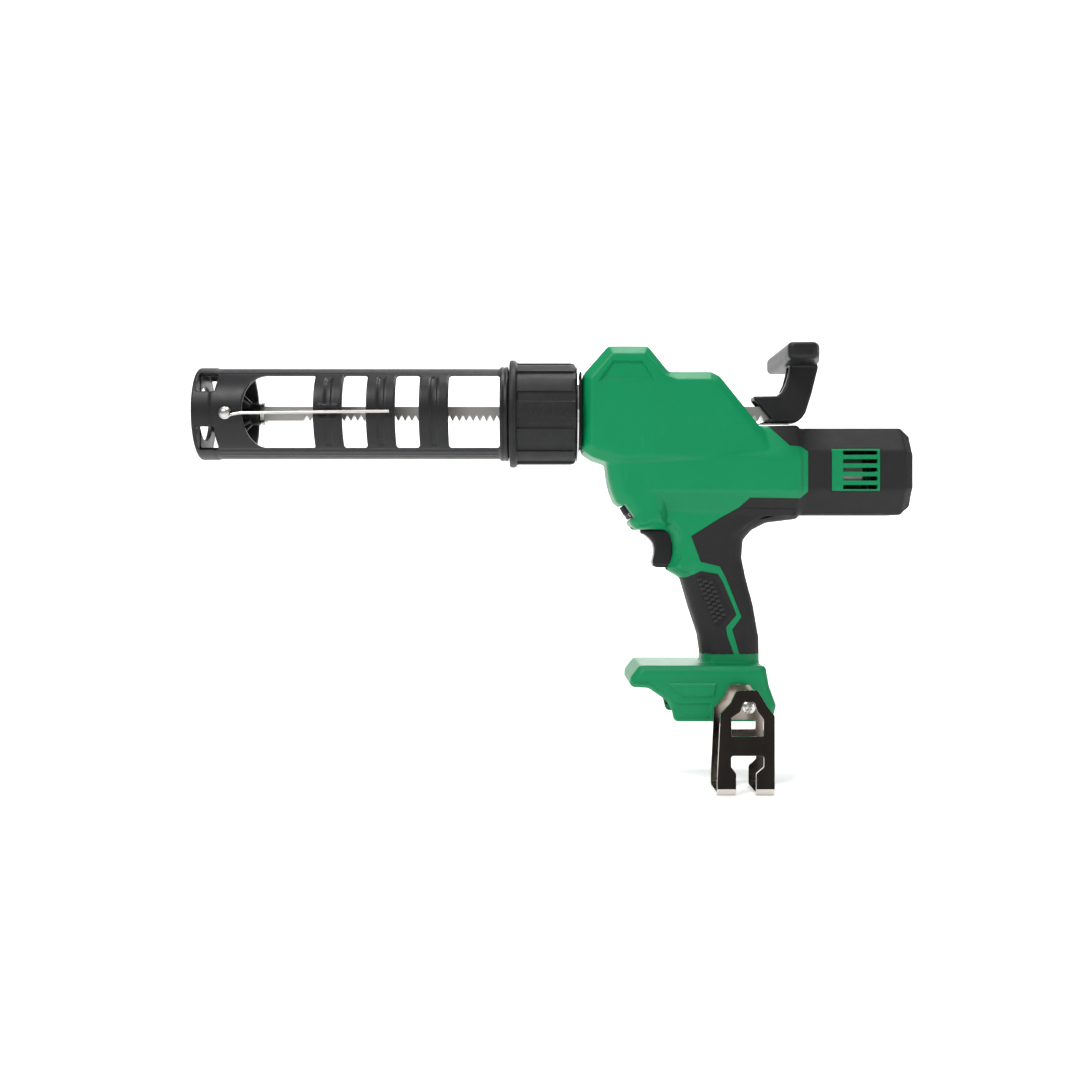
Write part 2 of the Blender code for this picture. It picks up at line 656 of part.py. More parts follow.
def holder_pieces():
    """A half pipe open to +Y, with a full nose cap, and windows between bands on its closed side."""
    profile = [(HOLDER_FRONT, 17.0), (HOLDER_FRONT, 29.4), (-314.5, 29.4), (-314.5, HOLDER_R),
               (-135.0, HOLDER_R), (-135.0, 30.2), (COLLAR_FRONT - GAP, 30.2),
               (COLLAR_FRONT - GAP, 27.6), (-121.5, 27.6), (-121.5, 29.4), (-113.2, 29.4),
               (-113.2, HOLDER_BORE - 1.7), (-128.0, HOLDER_BORE - 1.7), (-128.0, HOLDER_BORE),
               (-323.5, HOLDER_BORE), (-323.5, 17.0)]
    holder = turned("holder", profile, (0, 0, AXIS_Z), steps=36)
    cut(holder, box("open_side", (-295, 3, AXIS_Z - 40), (-135, 60, AXIS_Z + 40)))
    arch = outline_solid("arch", [arc((ARCH_X, AXIS_Z), RAIL_Z, 90, 270, 9, 13.0 / RAIL_Z)
                                  + [(BANDS[0][0], AXIS_Z - RAIL_Z), (BANDS[0][0], AXIS_Z + RAIL_Z)]],
                         60, at=(0, -30, 0))
    cut(holder, arch)
    edges = [x for band in BANDS for x in band][1:] + [-135.0]
    for low, high in zip(edges[::2], edges[1::2]):
        cut(holder, box("window", (low, -60, AXIS_Z - RAIL_Z), (high, 0, AXIS_Z + RAIL_Z)))
    for side in (-1, 1):
        for low, high in ((12.0, 24.0), (-23.6, -10.0)):
            ends = sorted((side * 14, side * 60))
            cut(holder, box("front_window", (-323.4, ends[0], AXIS_Z + low),
                            (-311.8, ends[1], AXIS_Z + high)))
    for low, high in BANDS:
        middle = (low + high) / 2
        groove = tube("groove", 36, HOLDER_R - 0.8, middle - 2.2, middle + 2.2, (0, 0, AXIS_Z), steps=36)
        combine(groove, box("front", (-400, -60, AXIS_Z - RAIL_Z), (0, 0, AXIS_Z + RAIL_Z)), "INTERSECT")
        cut(holder, groove)
    cut(holder, cylinder("rivet_way", 1.6 + GAP, -40, -20, (RIVET[0], 0, RIVET[1]), sides=12))
    piece(holder, "cartridge_holder", BLACK, origin=(-129.4, 0, AXIS_Z))
    rivet = cylinder("rivet", 1.6, -33.4, HOLDER_BORE * -1 - 0.2, (RIVET[0], 0, RIVET[1]), sides=12)
    head = cylinder("rivet_head", 3.2, -34.0, -32.4, (RIVET[0], 0, RIVET[1]), sides=16)
    piece(join(head, rivet), "wire_rivet", STEEL)


def wire_pieces():
    """The wire that opens a cartridge's nozzle. It swings on its rivet."""
    curve = bpy.data.curves.new("wire", "CURVE")
    curve.dimensions = "3D"
    curve.bevel_depth = 1.0 * MM
    curve.bevel_resolution = 2
    curve.use_fill_caps = True
    spline = curve.splines.new("POLY")
    route = [(-302.0, WIRE_Y, 190.75), (-250.0, WIRE_Y, 191.3), (-203.2, WIRE_Y, 191.8)]
    spline.points.add(len(route) - 1)
    for point, place_at in zip(spline.points, route):
        point.co = (*(Vector(place_at) * MM), 1)
    drawn = bpy.data.objects.new("wire", curve)
    bpy.context.scene.collection.objects.link(drawn)
    bpy.context.view_layer.update()
    data = bpy.data.meshes.new_from_object(drawn.evaluated_get(bpy.context.evaluated_depsgraph_get()))
    bpy.data.objects.remove(drawn)
    bm = bmesh.new()
    bm.from_mesh(data)
    bmesh.ops.remove_doubles(bm, verts=bm.verts, dist=1e-6)
    bmesh.ops.scale(bm, vec=(1 / MM, 1 / MM, 1 / MM), verts=bm.verts)
    wire = mesh_object("wire", bm)
    eye = tube("eye", 4.0, 1.6 + GAP, WIRE_Y - 1, WIRE_Y + 1, (RIVET[0], 0, RIVET[1]), "Y", 20)
    piece(join(eye, wire), "puncture_wire", STEEL, origin=(RIVET[0], 0, RIVET[1]))


COLLAR_BORE = 28.0


def collar_pieces():
    """The clamp collar that holds the cartridge holder on the nose, and what it turns on."""
    profile = [(COLLAR_FRONT, COLLAR_BORE), (COLLAR_FRONT, 33.3), (COLLAR_FRONT + 1, 34.3),
               (-125.6, 34.3), (-124.6, 33.3), (-124.6, 32.4), (-89.0, 32.4), (-87.2, 30.8),
               (-87.2, COLLAR_BORE), (-112.9, COLLAR_BORE), (-112.9, 29.9), (-121.8, 29.9),
               (-121.8, COLLAR_BORE)]
    collar = turned("collar", profile, (0, 0, AXIS_Z), steps=28)
    for i in range(FLUTES):
        turn = 2 * math.pi * (i + 0.5) / FLUTES
        middle = (0, 34.6 * math.cos(turn), AXIS_Z + 34.6 * math.sin(turn))
        cut(collar, cylinder("flute", 3.4, -122.6, -90.6, middle, "X", 6))
    piece(collar, "clamp_collar", BLACK, origin=(-108, 0, AXIS_Z))
    spigot = turned("spigot", [(-112.0, 24.3), (-112.0, 27.3), (-88.4, 27.3), (-85.9, 27.3),
                               (-85.9, 10.0), (-88.4, 10.0), (-88.4, 24.3)], (0, 0, AXIS_Z))
    piece(spigot, "nose_spigot", ALUMINIUM)
    piece(tube("ring", 31.6, 27.7, -86.7, -85.9, (0, 0, AXIS_Z)), "collar_ring", STEEL)
    plate = box("plate", (-85.5, -26.5, 170), (-84.1, 26.5, 217))
    bevel(plate, 4.0, 1, 60)
    cut(plate, cylinder("hole", 10.0, -90, -80, (0, 0, AXIS_Z), "X", 24))
    piece(plate, "front_plate", BLACK)


# ---------------------------------------------------------------- rod, piston and pull handle

HANDLE_PIN = (44.0, AXIS_Z)
HANDLE = [(29.3, 186.4), (52.0, 186.4), (54.9, 189.5), (58.4, 193.4), (60.0, 196.9), (62.7, 205.8),
          (66.6, 221.7), (65.0, 229.0), (49.5, 229.0), (48.0, 218.6), (46.0, 211.2), (43.4, 206.2),
          (40.4, 203.7), (25.9, 203.5), (25.9, 201.4), (29.5, 201.3)]
T_BAR = [(45.0, -42), (60.0, -42), (65.0, -14), (65.0, 14), (60.0, 42), (45.0, 42), (40.5, 38),
         (41.5, 12), (41.5, -12), (40.5, -38)]


def rack_outline():
    quarter = math.pi * RACK_MODULE / 4
    loop = [(RACK_FRONT, RACK_TOP_Z), (RACK_FRONT, RACK_TIP_Z)]
    root_z = RACK_PITCH_Z + 1.25 * RACK_MODULE
    for n in RACK_GAPS:
        middle = OUTPUT_X + n * 4 * quarter
        at_tip = quarter + RACK_MODULE * math.tan(STEEP) + BACKLASH / 2
        at_root = quarter - 1.25 * RACK_MODULE * math.tan(STEEP) + BACKLASH / 2
        loop += [(middle - at_tip, RACK_TIP_Z), (middle - at_root, root_z),
                 (middle + at_root, root_z), (middle + at_tip, RACK_TIP_Z)]
    return loop + [(RACK_BACK, RACK_TIP_Z), (RACK_BACK, RACK_TOP_Z)]


def rack_hole(low, high):
    """The way for the rod in the pieces fixed to it."""
    return box("rod_way", (low, -RACK_HALF - GAP, RACK_TIP_Z - GAP),
               (high, RACK_HALF + GAP, RACK_TOP_Z + GAP))


def rod_pieces():
    rack = outline_solid("rack", [rack_outline()], 2 * RACK_HALF)
    cut(rack, cylinder("pin_way", 1.5 + GAP, -20, 20, (HANDLE_PIN[0], 0, HANDLE_PIN[1]), sides=12))
    piece(rack, "rack", STEEL)
    piston = cylinder("piston", 23.5, -314, -308, (0, 0, AXIS_Z), "X", 32)
    bevel(piston, 1.2, 1, 60)
    fin = [(-310, 20.5), (-310, -20.5), (-301, -14), (-293, -6), (-293, 6), (-301, 14)]
    join(piston, outline_solid("fin", [fin], 3.0, at=(0, 0, AXIS_Z)),
         outline_solid("fin", [fin], 3.0, at=(0, 0, AXIS_Z), across="Z"),
         cylinder("hub", 7.0, -309, -288, (0, 0, AXIS_Z), "X", 20))
    cut(piston, rack_hole(RACK_FRONT - GAP, -280))
    piece(piston, "piston", BLACK)
    nut = cylinder("nut", 7.2, -287.7, -285.2, (0, 0, AXIS_Z), "X", 20)
    cut(nut, rack_hole(-290, -280))
    piece(nut, "piston_nut", STEEL)
    handle = outline_solid("handle", [HANDLE], 18)
    bevel(handle, 1.6, 2, 60)
    bar = outline_solid("bar", [T_BAR], 11, at=(0, 0, 228.3), across="Z")
    bevel(bar, 2.6, 2, 60)
    join(handle, bar)
    cut(handle, rack_hole(20, RACK_BACK + GAP))
    cut(handle, outline_solid("mouth", [[(20, 188.2), (38.0, 188.2), (34.0, 201.4), (20, 201.4)]], 13))
    cut(handle, cylinder("pin_way", 1.5 + GAP, -8, 20, (HANDLE_PIN[0], 0, HANDLE_PIN[1]), sides=12))
    piece(handle, "pull_handle", BLACK)
    pin = cylinder("pin", 1.5, -7.7, 8.4, (HANDLE_PIN[0], 0, HANDLE_PIN[1]), sides=10)
    piece(pin, "handle_pin", STEEL)


# ---------------------------------------------------------------- motor and gear train

def spur(name, teeth, module, phase, low, high, at, bore, points=2):
    """A spur gear about the Y axis through the point at, from low to high in Y."""
    loops = [gear_loop(teeth, module, phase, points=points), circle(bore, 16)]
    obj = outline_solid(name, loops, high - low)
    return turn_into_place(obj, Matrix.Translation((0, (low + high) / 2 * MM, 0)), at)


def cross_shaft_pieces():
    """The two shafts that lie across the head, their gears and bearings."""
    output = (OUTPUT_X, 0, OUTPUT_Z)
    cross = (CROSS_X, 0, CROSS_Z)
    line = math.atan2(CROSS_Z - OUTPUT_Z, CROSS_X - OUTPUT_X)
    piece(spur("pinion", PINION_TEETH, RACK_MODULE, math.pi / 2, -5, 5, output, SHAFT_R + GAP),
          "rack_pinion", STEEL)
    piece(spur("large", SPUR_LARGE, SPUR_MODULE, line + math.pi / SPUR_LARGE, 8, 14, output,
               SHAFT_R + GAP), "output_gear", STEEL)
    piece(spur("small", SPUR_SMALL, SPUR_MODULE, line + math.pi, 7.5, 14.5, cross, SHAFT_R + GAP),
          "cross_gear", STEEL)
    for word, at in (("output", output), ("cross", cross)):
        piece(cylinder("shaft", SHAFT_R, -22, 22, at, sides=16), f"{word}_shaft", STEEL)
        for side, hand in ((-1, "left"), (1, "right")):
            ends = sorted((side * BEARING_FROM, side * BEARING_TO))
            piece(tube("bearing", BEARING_R, BEARING_INNER, *ends, at, "Y", 20),
                  f"{word}_bearing_{hand}", STEEL)
    large = bevel_gear("bevel", BEVEL_LARGE, BEVEL_SMALL, BEVEL_MODULE, BEVEL_FACE,
                       math.pi / BEVEL_LARGE, 3.0)
    turn_into_place(large, Matrix.Rotation(math.pi / 2, 4, "X"), cross)
    cut(large, cylinder("bore", SHAFT_R + GAP, -40, 40, cross, sides=16))
    piece(large, "bevel_gear", STEEL)
    small = bevel_gear("bevel", BEVEL_SMALL, BEVEL_LARGE, BEVEL_MODULE, BEVEL_FACE,
                       -math.pi / 2, BEVEL_BACK)
    piece(turn_into_place(small, AXES["X"], cross), "bevel_pinion", STEEL)


def planet_pieces():
    """Planetary stage between the motor and the bevel pinion."""
    low, high = STAGE_X - STAGE_WIDTH / 2, STAGE_X + STAGE_WIDTH / 2
    at = (0, 0, MOTOR_Z)
    ring = outline_solid("ring", [circle(20.6, 40),
                                  gear_loop(RING_TEETH, PLANET_MODULE, 0.0, 1.25, 1.0, -BACKLASH, 2)],
                         STAGE_WIDTH, at=(STAGE_X, 0, MOTOR_Z), across="X")
    piece(ring, "ring_gear", STEEL)
    orbit = PLANET_MODULE * (SUN_TEETH + PLANET_TEETH) / 2
    carrier = cylinder("carrier", 15.0, low - 5, low - 1, at, "X", 32)
    join(carrier, cylinder("shaft", SHAFT_R, CARRIER_FRONT, low - 2, at, "X", 16))
    for k in range(3):
        turn = 2 * math.pi * k / 3
        middle = (0, orbit * math.cos(turn), MOTOR_Z + orbit * math.sin(turn))
        join(carrier, cylinder("pin", 1.8, low - 3, high, middle, "X", 12))
        loops = [gear_loop(PLANET_TEETH, PLANET_MODULE, turn, points=2), circle(1.8 + GAP, 12)]
        planet = outline_solid("planet", loops, STAGE_WIDTH - 0.6, at=(STAGE_X, *middle[1:]), across="X")
        piece(planet, f"planet_gear_{k + 1}", STEEL)
    piece(carrier, "planet_carrier", STEEL, origin=(STAGE_X, 0, MOTOR_Z))


def motor_pieces():
    at = (0, 0, MOTOR_Z)
    inner = CASE_R - 1.5
    case = turned("case", [(-12, 4.6), (-12, CASE_R), (36, CASE_R), (36, inner), (-9.5, inner),
                           (-9.5, 4.6)], at)
    piece(case, "gear_case", ALUMINIUM)
    can = turned("can", [(38, 3.2), (38, CAN_R), (92, CAN_R), (92, CAN_R - 1.6), (39.6, CAN_R - 1.6),
                         (39.6, 3.2)], at)
    piece(can, "motor_can", STEEL)
    piece(tube("cap", CAN_R, 3.2, 92.3, 95.0, at), "motor_end_cap", BLACK)
    shaft = cylinder("shaft", MOTOR_SHAFT_R, STAGE_X + 3, 104.5, at, "X", 14)
    sun = outline_solid("sun", [gear_loop(SUN_TEETH, PLANET_MODULE, 0.0, points=2)], STAGE_WIDTH,
                        at=(STAGE_X + 0.2, 0, MOTOR_Z), across="X")
    piece(join(sun, shaft), "motor_shaft", STEEL, origin=(STAGE_X, 0, MOTOR_Z))
    piece(tube("core", 14.5, MOTOR_SHAFT_R + GAP, 48, 84, at, steps=24), "rotor_core", STEEL)
    blades = []
    for i in range(FAN_BLADES):
        turn = 2 * math.pi * i / FAN_BLADES
        for r, off in ((4.6, -0.13), (16.5, -0.04), (16.5, 0.04), (4.6, 0.13)):
            blades.append((r * math.cos(turn + off), r * math.sin(turn + off)))
    fan = outline_solid("fan", [blades, circle(MOTOR_SHAFT_R + GAP, 14)], 5.4,
                        at=(100.3, 0, MOTOR_Z), across="X")
    join(fan, tube("disc", 17.0, MOTOR_SHAFT_R + GAP, 97.0, 98.2, at, steps=30))
    piece(fan, "cooling_fan", BLACK)


housing_pieces()
screw_pieces()
control_pieces()
hook_pieces()
holder_pieces()
wire_pieces()
collar_pieces()
rod_pieces()
cross_shaft_pieces()
planet_pieces()
motor_pieces()
for leftover in list(CUTTERS.objects):
    bpy.data.objects.remove(leftover)
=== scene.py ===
"""The looks of a battery caulking gun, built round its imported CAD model."""

import math

import bmesh
import bpy
from mathutils import Matrix, Vector
from mathutils.bvhtree import BVHTree


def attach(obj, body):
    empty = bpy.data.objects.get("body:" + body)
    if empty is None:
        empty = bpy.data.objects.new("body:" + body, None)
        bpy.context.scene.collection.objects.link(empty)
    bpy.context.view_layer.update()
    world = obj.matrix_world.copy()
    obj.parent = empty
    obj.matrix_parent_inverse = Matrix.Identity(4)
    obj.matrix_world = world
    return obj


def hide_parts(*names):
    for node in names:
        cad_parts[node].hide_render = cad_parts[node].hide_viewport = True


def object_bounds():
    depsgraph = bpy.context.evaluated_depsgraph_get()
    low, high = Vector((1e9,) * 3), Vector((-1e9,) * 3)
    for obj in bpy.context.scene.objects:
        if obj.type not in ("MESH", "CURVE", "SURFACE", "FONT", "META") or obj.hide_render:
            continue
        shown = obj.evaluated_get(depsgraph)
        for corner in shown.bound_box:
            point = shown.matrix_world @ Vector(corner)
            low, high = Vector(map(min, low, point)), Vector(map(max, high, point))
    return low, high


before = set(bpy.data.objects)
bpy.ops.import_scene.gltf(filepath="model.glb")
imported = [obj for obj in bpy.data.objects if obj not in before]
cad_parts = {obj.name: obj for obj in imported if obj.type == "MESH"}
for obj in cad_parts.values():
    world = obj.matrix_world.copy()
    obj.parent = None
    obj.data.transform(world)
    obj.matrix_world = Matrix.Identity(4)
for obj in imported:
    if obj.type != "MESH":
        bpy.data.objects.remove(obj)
cad_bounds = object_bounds()


# ---------------------------------------------------------------- floor, light and camera
# The gun stands on a plain pale sweep of card that runs up behind it. Large soft lamps stand to the
# left, overhead and to the right, and the camera looks level and square at the gun's left side.

MM = 0.001
FLOOR_Z = cad_bounds[0][2]
CAMERA_AT = (-0.110, -0.875, 0.1122)
LENS, SENSOR = 45.57, 36.0


def placed(name, data):
    """A new object, put in the scene."""
    obj = bpy.data.objects.new(name, data)
    bpy.context.scene.collection.objects.link(obj)
    return obj


def sweep_card(name, front, back, height, radius, half_width):
    """A floor that bends up into a wall, as one smooth strip."""
    profile = [(front, 0.0), (back - radius, 0.0)]
    for i in range(1, 17):
        turn = math.pi / 2 * i / 16
        profile.append((back - radius + radius * math.sin(turn), radius - radius * math.cos(turn)))
    profile.append((back, height))
    bm = bmesh.new()
    rows = [[bm.verts.new((x, y, FLOOR_Z + z)) for y, z in profile] for x in (-half_width, half_width)]
    for i in range(len(profile) - 1):
        bm.faces.new((rows[0][i], rows[1][i], rows[1][i + 1], rows[0][i + 1]))
    data = bpy.data.meshes.new(name)
    bm.to_mesh(data)
    bm.free()
    data.shade_smooth()
    return placed(name, data)


def soft_lamp(name, at, target, size, watts):
    lamp = bpy.data.lights.new(name, "AREA")
    lamp.shape = "DISK"
    lamp.size = size
    lamp.energy = watts
    obj = placed(name, lamp)
    obj.location = at
    obj.rotation_euler = (Vector(target) - Vector(at)).to_track_quat("-Z", "Y").to_euler()


card = sweep_card("card", -6.0, 3.0, 5.0, 1.5, 8.0)
card_paint = bpy.data.materials.new("card_paint")
card_paint.use_nodes = True
for label, value in (("Base Color", (0.86, 0.86, 0.86, 1)), ("Roughness", 0.8),
                     ("Emission Color", (1, 1, 1, 1)), ("Emission Strength", 0.34)):
    card_paint.node_tree.nodes["Principled BSDF"].inputs[label].default_value = value
card.data.materials.append(card_paint)

world = bpy.data.worlds.new("studio")
bpy.context.scene.world = world
world.use_nodes = True
world.node_tree.nodes["Background"].inputs["Color"].default_value = (1, 1, 1, 1)
world.node_tree.nodes["Background"].inputs["Strength"].default_value = 0.2

GUN_MIDDLE = (-0.1, 0.0, 0.12)
soft_lamp("key_lamp", (-0.8, -1.0, 1.35), GUN_MIDDLE, 0.6, 19)
soft_lamp("fill_lamp", (1.3, -1.0, 0.3), GUN_MIDDLE, 0.7, 3)
soft_lamp("top_lamp", (0.1, 0.1, 1.5), GUN_MIDDLE, 0.6, 13)
soft_lamp("back_lamp", (0.3, 1.6, 0.9), GUN_MIDDLE, 1.0, 7)
soft_lamp("wall_lamp", (0.0, 1.2, 1.8), (0.0, 3.0, 0.8), 1.6, 55)

camera_data = bpy.data.cameras.new("camera")
camera_data.lens = LENS
camera_data.sensor_width = SENSOR
camera_data.clip_start = 0.01
camera = placed("camera", camera_data)
camera.location = CAMERA_AT
camera.rotation_euler = (math.pi / 2, 0, 0)
bpy.context.scene.camera = camera
bpy.context.scene.view_settings.view_transform = "Standard"


# ---------------------------------------------------------------- green housing
# Two glass-filled nylon mouldings, left and right, meet on the gun's centre line and carry all the
# rest. They are injection moulded with a fine spark-eroded grain, and screwed together from the right.

class Value:
    """A node's output that can be added, taken away and multiplied like a number."""

    def __init__(self, finish, socket):
        self.finish = finish
        self.socket = socket

    def maths(self, operation, first, second):
        return self.finish.node("ShaderNodeMath", {"operation": operation}, {0: first, 1: second})

    def __add__(self, other):
        return self.maths("ADD", self, other)

    def __sub__(self, other):
        return self.maths("SUBTRACT", self, other)

    def __rsub__(self, other):
        return self.maths("SUBTRACT", other, self)

    def __mul__(self, other):
        return self.maths("MULTIPLY", self, other)

    __radd__ = __add__
    __rmul__ = __mul__


class Finish:
    """A material on a Principled shader, with short ways to add its nodes."""

    def __init__(self, name, steady=None):
        self.material = bpy.data.materials.new(name)
        self.material.use_nodes = True
        self.tree = self.material.node_tree
        self.shader = self.tree.nodes["Principled BSDF"]
        for label, value in (steady or {}).items():
            self.shader.inputs[label].default_value = value
        self.place = self.node("ShaderNodeTexCoord", {}, {}, "Object")

    def node(self, kind, settings, sockets, output=0):
        made = self.tree.nodes.new(kind)
        for label, value in settings.items():
            if label == "stops":
                ramp = made.color_ramp
                while len(ramp.elements) < len(value):
                    ramp.elements.new(0.5)
                for element, (spot, shade) in zip(ramp.elements, value):
                    element.position = spot
                    element.color = (shade, shade, shade, 1) if isinstance(shade, float) else (*shade, 1)
            else:
                setattr(made, label, value)
        for label, value in sockets.items():
            if isinstance(value, Value):
                self.tree.links.new(value.socket, made.inputs[label])
            else:
                made.inputs[label].default_value = value
        return Value(self, made.outputs[output])

    def noise(self, scale, detail=2.0, stretch=(1, 1, 1)):
        spot = self.place
        if stretch != (1, 1, 1):
            spot = self.node("ShaderNodeMapping", {}, {"Vector": self.place, "Scale": stretch})
        return self.node("ShaderNodeTexNoise", {}, {"Vector": spot, "Scale": scale, "Detail": detail})

    def ramp(self, value, *stops):
        return self.node("ShaderNodeValToRGB", {"stops": stops}, {0: value})

    def blend(self, factor, first, second):
        """A mix of two colours."""
        mix = self.tree.nodes.new("ShaderNodeMix")
        mix.data_type = "RGBA"
        for index, value in ((0, factor), (6, first), (7, second)):
            if isinstance(value, Value):
                self.tree.links.new(value.socket, mix.inputs[index])
            elif index == 0:
                mix.inputs[index].default_value = value
            else:
                mix.inputs[index].default_value = (*value, 1)
        return Value(self, mix.outputs[2])

    def feed(self, label, value):
        self.tree.links.new(value.socket, self.shader.inputs[label])
        return self

    def bump(self, height, distance, strength=1.0):
        """Bumps the surface by a height from 0 to 1, over a distance in millimetres."""
        sockets = {"Height": height, "Distance": distance * MM, "Strength": strength}
        return self.feed("Normal", self.node("ShaderNodeBump", {}, sockets))


def moulded(name, colour, light, grain, roughness, scuff=0.5):
    """Moulded plastic: a fine grain, slight flow marks in its colour, and a few faint scuffs."""
    finish = Finish(name, {"IOR": 1.5, "Specular IOR Level": 0.28})
    flow = finish.noise(18, 3)
    patches = finish.noise(160, 4)
    scratches = finish.ramp(finish.noise(420, 3, (1, 1, 0.12)), (0.66, 0.0), (0.74, 1.0))
    marks = scratches * finish.ramp(finish.noise(35, 2), (0.5, 0.0), (0.62, 1.0)) * scuff
    tone = finish.blend(flow, colour, light)
    scuffed = tuple(min(1, c * 1.6 + 0.03) for c in light)
    finish.feed("Base Color", finish.blend(marks * 0.35, tone, scuffed))
    finish.feed("Roughness", patches * 0.14 + (roughness - 0.07) + marks * 0.1)
    finish.bump(finish.noise(grain, 3) + marks * -0.6, 0.05, 0.45)
    return finish.material


def soften(loop, radius, steps=4):
    """The closed outline with each corner turned into an arc of about the radius given."""
    made = []
    count = len(loop)
    for i, point in enumerate(loop):
        here = Vector(point)
        to_before = Vector(loop[i - 1]) - here
        to_after = Vector(loop[(i + 1) % count]) - here
        half = to_before.angle(to_after) / 2
        if half > math.pi / 2 - 0.05:
            made.append(tuple(here))
            continue
        reach = min(radius / math.tan(half), to_before.length * 0.45, to_after.length * 0.45)
        first = here + to_before.normalized() * reach
        last = here + to_after.normalized() * reach
        for j in range(steps + 1):
            t = j / steps
            made.append(tuple(first * (1 - t) ** 2 + here * 2 * t * (1 - t) + last * t ** 2))
    return made


SHARP_FROM = 35                 # edges turn sharp from this many degrees


def mesh_piece(name, bm):
    """A new object from a bmesh in millimetres."""
    bmesh.ops.recalc_face_normals(bm, faces=bm.faces)
    if bm.calc_volume(signed=True) < 0:
        bmesh.ops.reverse_faces(bm, faces=bm.faces)
    bmesh.ops.scale(bm, vec=(MM, MM, MM), verts=bm.verts)
    data = bpy.data.meshes.new(name)
    bm.to_mesh(data)
    bm.free()
    obj = placed(name, data)
    obj.data.shade_smooth()
    obj.data.set_sharp_from_angle(angle=math.radians(SHARP_FROM))
    return obj


def mesh_of(name, drawn):
    """The mesh of a curve or a text."""
    obj = placed(name, drawn)
    bpy.context.view_layer.update()
    data = bpy.data.meshes.new_from_object(obj.evaluated_get(bpy.context.evaluated_depsgraph_get()))
    bpy.data.objects.remove(obj)
    return data


TURNS = {"X": Matrix(((0, 0, 1, 0), (1, 0, 0, 0), (0, 1, 0, 0), (0, 0, 0, 1))),
         "Y": Matrix(((1, 0, 0, 0), (0, 0, -1, 0), (0, 1, 0, 0), (0, 0, 0, 1))),
         "Z": Matrix.Identity(4)}


def slab(name, loop, low, high, along="Y", rim=0.0, segments=1):
    """An outline made solid from low to high along an axis, with the edges of its ends bevelled.

    The outline is (x, z) along Y, (y, z) along X and (x, y) along Z.
    """
    curve = bpy.data.curves.new(name, "CURVE")
    curve.dimensions = "2D"
    curve.fill_mode = "BOTH"
    curve.extrude = (high - low) / 2
    spline = curve.splines.new("POLY")
    spline.points.add(len(loop) - 1)
    for point, (u, v) in zip(spline.points, loop):
        point.co = (u, v, 0, 1)
    spline.use_cyclic_u = True
    bm = bmesh.new()
    bm.from_mesh(mesh_of(name, curve))
    bmesh.ops.remove_doubles(bm, verts=bm.verts, dist=1e-4)
    bmesh.ops.dissolve_limit(bm, angle_limit=0.01, verts=bm.verts, edges=bm.edges)
    if rim:
        edges = [e for e in bm.edges if len(e.link_faces) == 2 and e.calc_face_angle(0) > 1.2
                 and abs(e.verts[0].co.z - e.verts[1].co.z) < 1e-4]
        bmesh.ops.bevel(bm, geom=edges, offset=rim, segments=segments, profile=0.5, affect="EDGES")
    middle = (low + high) / 2
    shift = {"X": (middle, 0, 0), "Y": (0, middle, 0), "Z": (0, 0, middle)}[along]
    bm.transform(Matrix.Translation(shift) @ TURNS[along])
    return mesh_piece(name, bm)


def hull(name, points):
    """The solid that wraps the points given."""
    bm = bmesh.new()
    for point in points:
        bm.verts.new(point)
    bmesh.ops.convex_hull(bm, input=bm.verts)
    return mesh_piece(name, bm)


POINTED = {"X": Matrix.Rotation(math.pi / 2, 4, "Y"), "Y": Matrix.Rotation(-math.pi / 2, 4, "X"),
           "Z": Matrix.Identity(4)}


def rod(name, radius, low, high, at, along="Y", sides=32):
    """A cylinder along an axis, from low to high past the point given."""
    bm = bmesh.new()
    bmesh.ops.create_cone(bm, cap_ends=True, segments=sides, radius1=radius, radius2=radius,
                          depth=high - low, matrix=Matrix.Translation((0, 0, (low + high) / 2)))
    bm.transform(Matrix.Translation(at) @ POINTED[along])
    return mesh_piece(name, bm)


def freeze(obj):
    """Makes obj's modifiers part of its mesh."""
    bpy.context.view_layer.update()
    data = bpy.data.meshes.new_from_object(obj.evaluated_get(bpy.context.evaluated_depsgraph_get()))
    obj.modifiers.clear()
    obj.data = data
    return obj


def combine(obj, other, operation, keep=False):
    tool = obj.modifiers.new(operation, "BOOLEAN")
    tool.operation = operation
    tool.solver = "MANIFOLD"
    tool.object = other
    freeze(obj)
    if not keep:
        bpy.data.objects.remove(other)
    return obj


def cut(obj, *others, keep=False):
    for other in others:
        combine(obj, other, "DIFFERENCE", keep)
    return obj


def join(obj, *others):
    for other in others:
        combine(obj, other, "UNION")
    return obj


def twin(obj, name):
    made = obj.copy()
    made.data = obj.data.copy()
    made.name = name
    bpy.context.scene.collection.objects.link(made)
    return made


def block(name, low, high):
    bm = bmesh.new()
    bmesh.ops.create_cube(bm, size=1)
    bmesh.ops.scale(bm, vec=[b - a for a, b in zip(low, high)], verts=bm.verts)
    bmesh.ops.translate(bm, vec=[(a + b) / 2 for a, b in zip(low, high)], verts=bm.verts)
    return mesh_piece(name, bm)


def oblong(left, low, right, high):
    """The outline with four square corners."""
    return [(left, low), (right, low), (right, high), (left, high)]


def inset(loop, distance):
    """The closed outline moved inwards by a distance."""
    if sum(loop[i - 1][0] * p[1] - p[0] * loop[i - 1][1] for i, p in enumerate(loop)) < 0:
        loop = loop[::-1]
    made = []
    for i, point in enumerate(loop):
        here = Vector(point)
        a = (here - Vector(loop[i - 1])).normalized()
        b = (Vector(loop[(i + 1) % len(loop)]) - here).normalized()
        side = Vector((-a.y, a.x))
        both = (side + Vector((-b.y, b.x))).normalized()
        made.append(tuple(here + both * (distance / max(0.35, both.dot(side)))))
    return made


